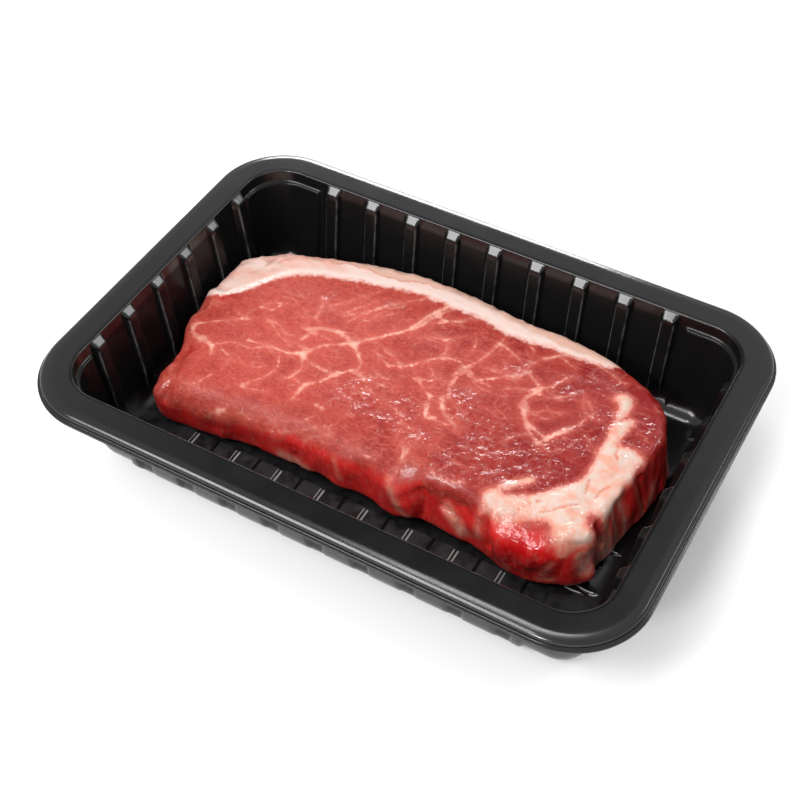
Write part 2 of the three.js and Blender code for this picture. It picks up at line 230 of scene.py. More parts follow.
# From the skirt over the trim lip and back under the flange: place across, and height.
LIP_END, LIP_LOW = FLANGE + TRIM_LIP, -RIM_SKIRT - SHEET
RIM_UNDERSIDE = [
    (FLANGE, -2.6), (FLANGE + 0.1, -2.85), (FLANGE + 0.35, -RIM_SKIRT),
    (LIP_END - 0.15, -RIM_SKIRT), (LIP_END, -RIM_SKIRT - 0.12), (LIP_END, LIP_LOW + 0.12),
    (LIP_END - 0.12, LIP_LOW), (FLANGE - SHEET + 0.3, LIP_LOW), (FLANGE - SHEET, LIP_LOW + 0.3),
    (FLANGE - SHEET, -2.0), (FLANGE - SHEET - 0.7, -SHEET - 0.2), (FLANGE / 2, -SHEET),
    (SHEET + 0.5, -SHEET)]
# Depths of the wall's rings, close together where shelf and ledge turn.
INNER_DEPTHS = (0.6, 0.9, 1.2, 1.6, 2.0, 2.4, 2.7, 3.0, 3.4, 3.9, 4.2, 4.45, 4.7, 4.95, 5.2, 5.5,
                6.2, 8, 12, 16, 20, 24, 28, FOOT_START)
OUTER_DEPTHS = (1.6, 2.4, 3.4, 4.3, 4.8, 5.3, 12, 20, 27, FOOT_START)
# The walls wave a little, as thin sheet does: how far, and how long the waves are.
WALL_WAVE, WAVE_LENGTH = 0.16, 42
# How much of the floor's relief shows on its underside.
UNDER_SHARE = 0.7
# How grey the front of the floor is painted, in place of its sheen, from 0 to 1, and where in depth
# it begins.
FLOOR_GREY, FRONT_FLOOR = 0.28, (34, 38)
# A distance that stands for far from every line, in millimetres.
FAR = 9.0


def softened(profile, value, reach):
    """A profile function averaged over a short reach, which rounds its corners."""
    offsets = np.linspace(-1, 1, 9)
    weights = 1.2 - np.abs(offsets)
    total = sum(w * profile(value + reach * o) for o, w in zip(offsets, weights))
    return total / weights.sum()


def straight_rise(value, low, high):
    return np.clip((value - low) / (high - low), 0, 1)


def soft_rise(value, low, high, reach):
    return float(softened(lambda v: straight_rise(v, low, high), value, reach))


def wall_stations(ribs, half_straight, pocket_gap):
    """Places along one wall, with the rib, the corner pocket and the painted fold highlight at
    each.
    """
    last = (ribs - 1) / 2 * RIB_PITCH
    pocket_start = last + RIB_ROOT_WIDTH / 2 + pocket_gap
    pocket_full = min(pocket_start + LEDGE_WIDTH, half_straight - 0.5)
    places = []
    for rib in range(ribs):
        middle = rib * RIB_PITCH - last
        for side in RIB_SIDES:
            places += [middle - side, middle + side]
    for step in np.linspace(-0.6, LEDGE_WIDTH + 0.6, 9):
        places += [pocket_start + step, -pocket_start - step]
    reach = half_straight - 0.05
    places = np.unique(np.round([p for p in places if abs(p) < reach] + [-reach, reach], 3))
    places = places[np.concatenate([[True], np.diff(places) > 0.12])]

    def from_rib(along):
        nearest = np.clip(np.round((along + last) / RIB_PITCH), 0, ribs - 1) * RIB_PITCH - last
        return np.abs(along - nearest)

    half_root, half_face = RIB_ROOT_WIDTH / 2, RIB_FACE_WIDTH / 2
    rib = softened(lambda p: 1 - straight_rise(from_rib(p), half_face, half_root),
                   places, FORM_ROUND)
    pocket = softened(lambda p: straight_rise(np.abs(p), pocket_start, pocket_full),
                      places, FORM_ROUND)
    # A painted highlight line along the rib's fold.
    line = 1 - ramp(np.abs(from_rib(places) - half_face - 0.1), 0.0, RIB_HIGHLIGHT_REACH)
    return places, rib, pocket, line


def mouth_stations():
    """Points round the tray's mouth: x, y, outward normal, rib, pocket and painted fold highlight.
    """
    corner_x = MOUTH_HALF_LENGTH - MOUTH_CORNER
    corner_y = MOUTH_HALF_WIDTH - MOUTH_CORNER
    long_wall = wall_stations(9, corner_x, 2.6)
    short_wall = wall_stations(6, corner_y, 0.4)
    rows = []
    for turn, corner in enumerate(((1, -1), (1, 1), (-1, 1), (-1, -1))):
        heading = turn * math.pi / 2
        u = (math.cos(heading), math.sin(heading))
        n = (u[1], -u[0])
        distance = MOUTH_HALF_LENGTH if turn % 2 else MOUTH_HALF_WIDTH
        for along, rib, pocket, line in zip(*(short_wall if turn % 2 else long_wall)):
            x, y = u[0] * along + n[0] * distance, u[1] * along + n[1] * distance
            rows.append((x, y, n[0], n[1], rib, pocket, line))
        for step in range(25):
            angle = heading - math.pi / 2 + step / 24 * math.pi / 2
            c, s = math.cos(angle), math.sin(angle)
            x = corner[0] * corner_x + c * MOUTH_CORNER
            y = corner[1] * corner_y + s * MOUTH_CORNER
            rows.append((x, y, c, s, 0.0, 1.0, 0.0))
    return np.array(rows)


def mouth_ring(stations, across, height):
    """A ring of points, outwards from the mouth's edge and at a height from the rim's top."""
    x, y, out_x, out_y = stations[:, :4].T
    z = np.full(len(x), TRAY_HEIGHT + height)
    return np.stack([x + out_x * across, y + out_y * across, z], 1)


def wall_ring(stations, depth, inset):
    """A ring of the wall at a depth under the rim, pulled in from the mouth by an inset."""
    shelf, low_shelf = (soft_rise(d, SHELF_TOP, SHELF_BOTTOM, 0.35) * RIB_DEPTH
                        for d in (depth, depth - FRONT_SHELF_LOWER))
    shelf = np.where(stations[:, 3] < -0.9, low_shelf, shelf)
    shelf = shelf * (1 - float(ramp(depth, RIB_END - RIB_FADE, RIB_END)))
    ledge = soft_rise(depth, POCKET_TOP, POCKET_BOTTOM, 0.3) * LEDGE_WIDTH
    pull = inset + stations[:, 4] * shelf + stations[:, 5] * ledge
    return mouth_ring(stations, -pull, -depth)


def foot_rings(stations, grow, steps):
    """Rings of the rounded foot, from the end of the wall to the floor."""
    rings = []
    for step in range(1, steps + 1):
        angle = step / steps * math.pi / 2
        radius = FOOT_RADIUS + grow
        depth = FOOT_START + radius * math.sin(angle)
        inset = WALL_DRAFT * FOOT_START + FOOT_RADIUS - radius * math.cos(angle)
        rings.append(wall_ring(stations, depth, inset))
    return rings


def tray_rings(stations):
    """The section of the sheet as rings, up inside and down outside, and how many are inside."""
    inside = [wall_ring(stations, d, WALL_DRAFT * (d - MOUTH_FILLET)) for d in INNER_DEPTHS]
    rings = foot_rings(stations, 0, 12)[::-1] + inside[::-1]
    for degrees in (75, 60, 45, 30, 15, 0):
        angle = math.radians(degrees)
        across = MOUTH_FILLET * (1 - math.sin(angle))
        rings.append(mouth_ring(stations, across, MOUTH_FILLET * (math.cos(angle) - 1)))
    inside_rings = len(rings)
    bend_start, flat_end = FLANGE - FLANGE_BEND, FLANGE - RIM_EDGE_ROUND
    for across in (1.8, 4.0, 6.4, bend_start - 0.5, bend_start, bend_start + 0.5, flat_end):
        drop = FLANGE_DROP * soft_rise(across, bend_start, flat_end, 0.5)
        rings.append(mouth_ring(stations, across, -drop))
    across, drop, before = flat_end, FLANGE_DROP, 0.0
    for degrees, radius in RIM_EDGE:
        angle = math.radians(degrees)
        across += radius * (math.sin(angle) - math.sin(before))
        drop += radius * (math.cos(before) - math.cos(angle))
        before = angle
        rings.append(mouth_ring(stations, across, -drop))
    for across, height in RIM_UNDERSIDE:
        rings.append(mouth_ring(stations, across, height))
    for depth in OUTER_DEPTHS:
        rings.append(wall_ring(stations, depth, WALL_DRAFT * depth - SHEET))
    return rings + foot_rings(stations, SHEET, 6), inside_rings


def round_box(points, half_x, half_y, corner, centre_y=0.0):
    """Signed distance to a rounded rectangle seen from above, negative inside it."""
    qx = np.abs(points[:, 0]) - (half_x - corner)
    qy = np.abs(points[:, 1] - centre_y) - (half_y - corner)
    outside = np.hypot(np.maximum(qx, 0), np.maximum(qy, 0))
    return outside + np.minimum(np.maximum(qx, qy), 0) - corner


# Low streaks across the floor at the right end, seen from above, and their height and reach. A
# highlight is painted along each.
FLOOR_STREAKS = [
    [(78, -29.6), (84, -30.6), (89, -30.8), (95, -29)], [(78, -33), (83, -33), (88.5, -32.4)],
    [(85, -11.6), (95, -11.3)],
]
STREAK_RISE, STREAK_REACH = 0.3, 0.7

PAD_MIDDLE_Y = (PAD_INNER_Y + PAD_OUTER_Y) / 2
PAD_HALF_WIDTH = (PAD_OUTER_Y - PAD_INNER_Y) / 2
MARK_X = [(m - (PAD_MARKS - 1) / 2) * PAD_MARK_PITCH for m in range(PAD_MARKS)]


def streak_distance(points):
    """The distance from plan points to the nearest streak of the floor, which thins to its ends."""
    nearest = np.full(len(points), FAR)
    for line in FLOOR_STREAKS:
        gap, share = line_distance(points, catmull_rom(line, 6, False))
        end = 1 - ramp(np.minimum(share, 1 - share), 0.0, 0.3)
        nearest = np.minimum(nearest, gap + 0.8 * end)
    return nearest


def floor_height(points):
    """Height of the floor's relief over the channel, in the plan's points (n, 2)."""
    height = np.zeros(len(points))
    mirrored = np.stack([points[:, 0], np.abs(points[:, 1])], 1)
    pad = round_box(mirrored, PAD_HALF_LENGTH, PAD_HALF_WIDTH, PAD_CORNER, PAD_MIDDLE_Y)
    height += PAD_RISE * ramp(-pad, -0.3, 0.9)
    for mark, x in enumerate(MARK_X):
        moved = mirrored - (x, 0)
        if mark % 2 == 0:
            bead = round_box(
                moved, BEAD_WIDTH / 2, PAD_HALF_WIDTH - 1, BEAD_CORNER, PAD_MIDDLE_Y)
            height += BEAD_RISE * ramp(-bead, -0.25, 0.55)
        else:
            slot = np.abs(moved[:, 0]) - SLOT_WIDTH / 2
            height -= SLOT_DEPTH * ramp(-slot, -0.2, 0.3) * ramp(-pad, 0.2, 0.9)
    ring = round_box(points, RING_HALF_LENGTH, RING_HALF_WIDTH, RING_CORNER)
    ring = np.abs(ring + RING_WIDTH / 2) - RING_WIDTH / 2
    height += STREAK_RISE * (1 - ramp(streak_distance(points), 0, STREAK_REACH))
    return height + RING_RISE * ramp(-ring, -0.1, 0.7)


def slot_share(points):
    """A value that is 1 in the pads' slots and 0 beside them."""
    in_pad = np.abs(np.abs(points[:, 1]) - PAD_MIDDLE_Y) < PAD_HALF_WIDTH
    share = np.zeros(len(points))
    for x in MARK_X[1::2]:
        across = np.abs(points[:, 0] - x) - SLOT_WIDTH / 2
        share = np.maximum(share, ramp(-across, -0.3, 0.1))
    return share * in_pad


def bead_edge_distance(points):
    """The distance from plan points to the nearer of a bead's long flank edge and a floor streak; a
    highlight is painted along these.
    """
    beyond = np.abs(np.abs(points[:, 1]) - PAD_MIDDLE_Y) - (PAD_HALF_WIDTH - 1.9)
    nearest = np.full(len(points), FAR)
    for x in MARK_X[::2]:
        edge = np.abs(np.abs(points[:, 0] - x) - BEAD_WIDTH / 2 + 0.1)
        nearest = np.minimum(nearest, edge + np.maximum(beyond, 0))
    return np.minimum(nearest, streak_distance(points))


def round_box_outlines(half_x, half_y, corner, centre, step, grows):
    """Lines of points round a rounded rectangle, about a step apart, each grown by an amount."""
    lines = []
    for grow in grows:
        radius = max(corner + grow, 0.1)
        points = []
        for turn, (sx, sy) in enumerate(((1, -1), (1, 1), (-1, 1), (-1, -1))):
            for part in range(7):
                angle = (turn - 1 + part / 6) * math.pi / 2
                points.append((
                    centre[0] + sx * (half_x + grow - radius) + radius * math.cos(angle),
                    centre[1] + sy * (half_y + grow - radius) + radius * math.sin(angle)))
        points = np.array(points + points[:1])
        length = np.linalg.norm(np.diff(points, axis=0), axis=1).sum()
        lines.append(resample(points, max(12, int(length / step)))[:-1])
    return lines


def floor_points():
    """Plan points that follow the relief's edges, so that its forms come out clean."""
    sets = []
    for side in (-1, 1):
        middle = side * PAD_MIDDLE_Y
        sets += round_box_outlines(PAD_HALF_LENGTH, PAD_HALF_WIDTH, PAD_CORNER, (0, middle), 1.1,
                                   (-1.1, -0.7, -0.3, 0.1, 0.45))
        y = np.linspace(middle - PAD_HALF_WIDTH - 0.6, middle + PAD_HALF_WIDTH + 0.6, 11)
        for mark, x in enumerate(MARK_X):
            if mark % 2 == 0:
                sets += round_box_outlines(BEAD_WIDTH / 2, PAD_HALF_WIDTH - 1, BEAD_CORNER,
                                           (x, middle), 0.8, (-0.6, -0.35, -0.1, 0.15, 0.4))
                continue
            for across in (-0.85, -0.6, -0.4, -0.2, 0.2, 0.4, 0.6, 0.85):
                sets.append(np.stack([np.full(len(y), x + across), y], 1))
    sets += round_box_outlines(RING_HALF_LENGTH, RING_HALF_WIDTH, RING_CORNER, (0, 0), 1.8,
                               (0.3, 0.0, -0.3, -0.55, -0.8, -1.05, -1.3, -1.6, -1.9))
    for line in FLOOR_STREAKS:
        line = resample(catmull_rom(line, 6, False), 20)
        for across in (-0.7, -0.45, -0.2, 0.0, 0.2, 0.45, 0.7):
            sets.append(line + (0, across))
    plain = [(x, y) for x in np.arange(-92, 93, 4.6) for y in np.arange(-24, 25, 4.8)]
    sets.append(np.array(plain))
    return np.vstack(sets)


def floor_mesh(outline, points):
    """Triangles over the outline's inside, as indexes into outline points and then points."""
    gap, _ = line_distance(points, np.vstack([outline, outline[:1]]))
    points = points[inside_polygon(points, outline) & (gap > 0.35)]
    _, unique = np.unique(np.round(points / 0.12), axis=0, return_index=True)
    points = points[np.sort(unique)]
    both = np.vstack([outline, points])
    edges = [(i, (i + 1) % len(outline)) for i in range(len(outline))]
    found, _, faces, source, _, _ = delaunay_2d_cdt(
        [Vector(p) for p in both.tolist()], edges, [], 0, 1e-5)
    origin = [s[0] for s in source]
    triangles = np.array([[origin[i] for i in f] for f in faces if len(f) == 3])
    middles = both[triangles].mean(1)
    triangles = triangles[inside_polygon(middles, outline)]
    return points, triangles


def tray_marks(walls, flat, stations, inside_rings):
    """What the material reads: on the walls' points, and on the floor's top and underside."""
    rings = len(walls) // len(stations)
    out_x, out_y, rib_highlight_line = (np.tile(stations[:, k], rings) for k in (2, 3, 6))
    inner = np.arange(len(walls)) < inside_rings * len(stations)
    height = walls[:, 2]
    # The inner walls: all of the near ones, and the far ones under their shelves.
    near = ramp(np.maximum(out_x, -out_y), 0.3, 0.8)
    inside = inner * ramp(height, 3, 6)
    # The front of the floor is duller, and painted grey in place of its sheen; its slots stay black
    # as painted shade.
    front_foot = ramp(-walls[:, 1], *FRONT_FLOOR) * ramp(height, 7, 3) * inner
    front_floor = ramp(-flat[:, 1], *FRONT_FLOOR)
    wall = np.maximum(inside * np.maximum(near, ramp(height, 39, 36)), front_foot)
    # Painted highlight lines down the far walls' rib folds, and the front foot painted grey as
    # sheen.
    crease_tint_and_painted_light = np.maximum(inside * (1 - near) * rib_highlight_line * ramp(height, 38.5, 37),
                      FLOOR_GREY * front_foot)
    grey = FLOOR_GREY * front_floor * (1 - slot_share(flat))
    none = np.zeros(len(flat))
    # The distance to bead edges and floor streaks, along which a highlight is painted.
    bead = [np.full(len(walls), FAR), bead_edge_distance(flat), none + FAR]
    return {"bead_mm": np.concatenate(bead), "wall": np.concatenate([wall, front_floor, none]),
            "crease_tint_and_painted_light": np.concatenate([crease_tint_and_painted_light, grey, none])}


def make_tray(material):
    """The tray as one closed shell of sheet: floor, walls, flange and underside."""
    stations = mouth_stations()
    rings, inside_rings = tray_rings(stations)
    count = len(stations)
    outline = rings[0][:, :2]
    flat, triangles = floor_mesh(outline, floor_points())
    walls = np.vstack(rings)

    wave = fractal(walls, WAVE_LENGTH, 2, 11)[:, None]
    sideways = np.tile(stations[:, 2:4], (len(rings), 1))
    lift = ramp(walls[:, 2], 2, 12) * (1 - ramp(walls[:, 2], 32, 38))
    walls[:, :2] += sideways * wave * WALL_WAVE * lift[:, None]

    relief = floor_height(flat)
    top = np.column_stack([flat, SHEET + relief])
    under = np.column_stack([flat, relief * UNDER_SHARE])
    vertices = np.vstack([walls, top, under])
    vertices[:count, 2] += floor_height(outline)
    last = len(walls) - count
    vertices[last:len(walls), :2] = outline
    vertices[last:len(walls), 2] = 0.0

    def floor_faces(rim, rest):
        """The floor's triangles, with the rim's and the other points counted from there."""
        return np.where(triangles < count, triangles + rim, triangles - count + rest)

    # The stack of rings runs up inside and down outside, so its quads are turned round.
    faces = ring_quads(count, len(rings))[:, ::-1].tolist()
    faces += floor_faces(0, len(walls)).tolist()
    faces += floor_faces(last, len(walls) + len(flat))[:, ::-1].tolist()
    marks = tray_marks(walls, flat, stations, inside_rings)
    return mesh_object("tray_shell", vertices, faces, material, marks)


# ---- Steak: the CAD's outline and section ---------------------------------------------------
STEAK_FOOT = 2.2
STEAK_TOP = 25.6
STEAK_TILT = 0.018
STEAK_FOOT_ROUND = 3.4
STEAK_SHOULDER, STEAK_SHOULDER_CHANGE = 5.0, 2.4
STEAK_SPLAY, STEAK_SPLAY_CHANGE = 1.0, -3.2
# The front edge slumps, so its shoulder is rounder: how much further in and down it reaches,
# and how much of that each place along x gets.
FRONT_REACH, FRONT_FALL = 12.0, 5.5
FRONT_X, FRONT_SHARE = (16, 25, 47, 56, 72, 80), (1, 0.35, 0.35, 1, 1, 0)
SPINE_SHARE, SPINE_Y = 0.55, 9.0
# The steak's mesh: steps along and across its top, up its side, and rings under its foot.
STEPS_ALONG, STEPS_ACROSS, STEPS_UP = 300, 150, 21
UNDER_PULLS = (26.0, 14.0, 7.5)
# The outline's points where the top's four sides meet, from the left front on.
TOP_CORNERS = (21, 34, 3, 14)
STEAK_OUTLINE = [
    (91.4, 12), (92, 24), (87.8, 35), (79, 42.2), (67.5, 48.6), (53, 53.3), (38, 55.2),
    (20, 55.6), (5, 57.2), (-9, 59), (-23, 58.6), (-39, 56.6), (-57, 51.6), (-72, 47),
    (-86.6, 42), (-94.8, 35.5), (-96.2, 25), (-96.2, 11), (-94.4, -6), (-88.4, -21),
    (-89.4, -32), (-84.5, -39.4), (-73, -39.2), (-60, -37.8), (-46, -34.6), (-23, -34.2),
    (-8, -34.8), (3, -34.6), (14, -36.8), (24, -33.4), (37, -33.8), (47.5, -34.8),
    (60, -38.2), (73, -36.4), (84.6, -30.5), (86.4, -20), (89, -4),
]
CAP_SEAM = [
    (-110, 6), (-93, 10), (-85.5, 14.5), (-79, 21.5), (-73, 29), (-63.5, 35.8), (-52, 39.6),
    (-38, 42.8), (-21, 46.6), (-4, 46), (8, 45.6), (20, 42.8), (33, 44.2), (46, 44.6),
    (57, 45.2), (64, 47.5), (72, 48.5), (80, 49), (92, 52),
]

# The seam fat at the right end, seen from above. It runs down through the steak's corner.
SEAM_FAT = [
    (67.7, 31.3), (70.2, 34.5), (72.8, 34), (73.9, 29.7), (73.1, 24.4), (73.4, 22.2),
    (76.3, 24.8), (77.4, 24), (76.7, 18.2), (76.4, 14.6), (78, 11.7), (82.6, 12.7),
    (87.1, 10), (88.6, 6.5), (97, 5), (98, -20), (96, -46), (77, -46), (75.3, -35),
    (71.3, -29.5), (67.9, -28.6), (60.4, -32.2), (57, -33.6), (52.8, -36.3), (47, -37),
    (48.2, -32.6), (46.1, -29), (48.3, -25.2), (53, -19.4), (57.8, -15.6), (55.2, -19.6),
    (51.2, -23.6), (50.4, -25.8), (53, -26.2), (57.2, -24.2), (61.8, -21.3), (66.6, -15.7),
    (71.9, -9.3), (73.6, -2.4), (73, 7), (72.8, 16), (71.6, 24), (70.4, 29.8),
]

# Thin folds in the seam fat, seen from above.
CREASES = [
    [(64.4, -22.8), (61.3, -24.9), (59.7, -27.8), (58.9, -30.6), (59.1, -32.4)],
    [(75.6, -18.1), (71.3, -22.4), (68.3, -25.5), (66, -26.8)],
    [(74.9, -6.2), (75.5, -9.9), (76, -12.6)], [(82, -6.3), (80.3, -9.2), (79.9, -12.4)],
    [(48.3, -32), (51.7, -32.6), (55, -34.7)], [(77.6, 12.1), (78.2, 8.2), (79.6, 5.9)],
]

# The line in the fat cap that parts the white fat from the tan skin side.
RIND_LINE = [
    (-110, 40), (-85, 43), (-73.8, 43.6), (-59, 46.2), (-52.5, 48.4), (-38.2, 48.9), (-29.9, 50.1),
    (-21.8, 52.5), (-11.1, 53.1), (2.7, 51.7), (20.9, 49.3), (38.4, 47.3), (54.9, 46.9), (80, 47),
]

# Fat that shows on the sides: its radius, and points along its middle.
SIDE_FAT = [
    (1.4, [(90.5, 13, 13), (92, 9.5, 7)]), (2.4, [(91.5, 27.5, 20), (92, 27, 5)]),
    (2.0, [(-33, -34, 7), (-23, -34.5, 4.5)]), (2.4, [(34, -33.5, 15), (41, -34.5, 9.5)]),
    (0.9, [(12, -36, 20.5), (14.3, -36.7, 16), (17.3, -36.3, 8.6), (20, -35.3, 6.6)]),
    (0.7, [(47.3, -34.6, 20), (48, -35.2, 11)]), (0.1, [(-10.9, -34.5, 17), (-8.2, -34.9, 10)]),
    (0.6, [(-88, -33, 10), (-84, -39, 8)]), (4.0, [(77.5, -28, 26.5), (79, -31, 25)]),
    (2.4, [(79, -31, 25), (78, -33.5, 22.5)]), (3.0, [(84.3, -29.9, 19), (85.7, -29.4, 10.5)]),
    (0.3, [(75, -35, 16), (73, -37, 9)]), (0.5, [(72, -37, 6.5), (76, -36, 7)]),
]

# Lean that shows inside the seam fat on the sides: its radius, and points along its middle.
SIDE_LEAN = [
    (4.0, [(88, -1.8, 22.5), (90.5, 0.2, 5)]), (3.2, [(83.8, -21.7, 26.2), (85.6, -22.2, 19)]),
    (2.2, [(85.7, -22.5, 18), (86, -24, 13)]), (3.2, [(78, -34, 4), (88, -25, 4)]),
    (1.4, [(87, -9, 23), (89.5, -7.5, 8)]), (1.3, [(86, -14.5, 22), (88, -13, 9)]),
    (4.5, [(89, 6, 23), (92, 8, 14)]), (3.0, [(92, 19, 20), (94, 19, 5)]),
]

# How far under the top the lighter flesh runs down the sides, along x.
DARK_BELOW = [
    (-96, 9), (-70, 11), (-50, 11), (-40, 9.5), (-29, 7.5), (2, 7.5), (11, 6), (18, 6), (23, 4),
    (27, 8), (36, 7), (43, 5.5), (50, 3), (58, 2.5), (96, 2.5),
]


def steak_top(x):
    return STEAK_TOP + STEAK_TILT * x


def steak_stations(span_steps=24):
    """Stations round the steak from the left front corner, anticlockwise, as columns."""
    loop = catmull_rom(STEAK_OUTLINE, span_steps, True)
    corners = [corner * span_steps for corner in TOP_CORNERS]
    stretches = []
    for turn, count in enumerate((STEPS_ALONG, STEPS_ACROSS) * 2):
        start, end = corners[turn], corners[(turn + 1) % 4]
        if end <= start:
            end += len(loop)
        index = np.arange(start, end + 1) % len(loop)
        stretches.append(resample(loop[index], count)[:-1])
    points = np.vstack(stretches)
    spine = np.stack([points[:, 0] * SPINE_SHARE, np.full(len(points), SPINE_Y)], 1)
    inward = spine - points
    inward /= np.linalg.norm(inward, axis=1)[:, None]
    shoulder = STEAK_SHOULDER + STEAK_SHOULDER_CHANGE * inward[:, 0]
    front = ramp(inward[:, 1], 0.3, 0.9) * np.interp(points[:, 0], FRONT_X, FRONT_SHARE)
    reach, fall = shoulder + FRONT_REACH * front, shoulder + FRONT_FALL * front
    splay = STEAK_SPLAY + STEAK_SPLAY_CHANGE * inward[:, 0]
    return points, inward, reach, fall, splay, steak_top(points[:, 0])


def side_ring(stations, pull, height):
    """A ring of the steak's side, pulled in by an amount and at a height."""
    points, inward, _, _, splay, top = stations
    share = (height - STEAK_FOOT) / (top - STEAK_FOOT)
    xy = points + inward * (pull - splay * (0.5 - share))[:, None]
    return np.column_stack([xy, height])


def steak_rows(stations):
    """Rings from under the foot, up the side and over the shoulder to the top's edge."""
    points, _, reach, fall, _, top = stations
    ones = np.ones(len(points))
    rows = [side_ring(stations, pull * ones, STEAK_FOOT * ones) for pull in UNDER_PULLS]
    for degrees in (0, 15, 30, 45, 60, 75, 90):
        angle = math.radians(degrees)
        rise = STEAK_FOOT_ROUND * (1 - math.cos(angle))
        pull = STEAK_FOOT_ROUND * (1 - math.sin(angle))
        rows.append(side_ring(stations, pull * ones, (STEAK_FOOT + rise) * ones))
    low, high = STEAK_FOOT + STEAK_FOOT_ROUND, top - fall
    for share in np.linspace(0, 1, STEPS_UP + 1)[1:-1]:
        rows.append(side_ring(stations, 0 * ones, low + (high - low) * share))
    for degrees in np.linspace(0, 90, 13):
        angle = math.radians(degrees)
        pull = reach * (1 - math.cos(angle))
        rows.append(side_ring(stations, pull, top - fall * (1 - math.sin(angle))))
    return rows


def top_patch(edge):
    """A grid of points spanned between the four sides of the top's edge."""
    a, b = STEPS_ALONG, STEPS_ACROSS
    front, right = edge[:a + 1], edge[a:a + b + 1]
    back = edge[a + b:2 * a + b + 1][::-1]
    left = np.vstack([edge[2 * a + b:], edge[:1]])[::-1]
    u = np.linspace(0, 1, a + 1)[:, None, None]
    v = np.linspace(0, 1, b + 1)[None, :, None]
    grid = (1 - v) * front[:, None] + v * back[:, None]
    grid = grid + (1 - u) * left[None] + u * right[None]
    grid -= ((1 - u) * (1 - v) * front[0] + u * (1 - v) * front[-1]
             + (1 - u) * v * back[0] + u * v * back[-1])
    return grid


def vertex_normals(vertices, quads):
    """Area-weighted normals of a quad mesh."""
    a, b, c, d = (vertices[quads[:, k]] for k in range(4))
    face = np.cross(c - a, d - b)
    normals = np.zeros_like(vertices)
    for k in range(4):
        np.add.at(normals, quads[:, k], face)
    return normals / np.maximum(np.linalg.norm(normals, axis=1), 1e-9)[:, None]
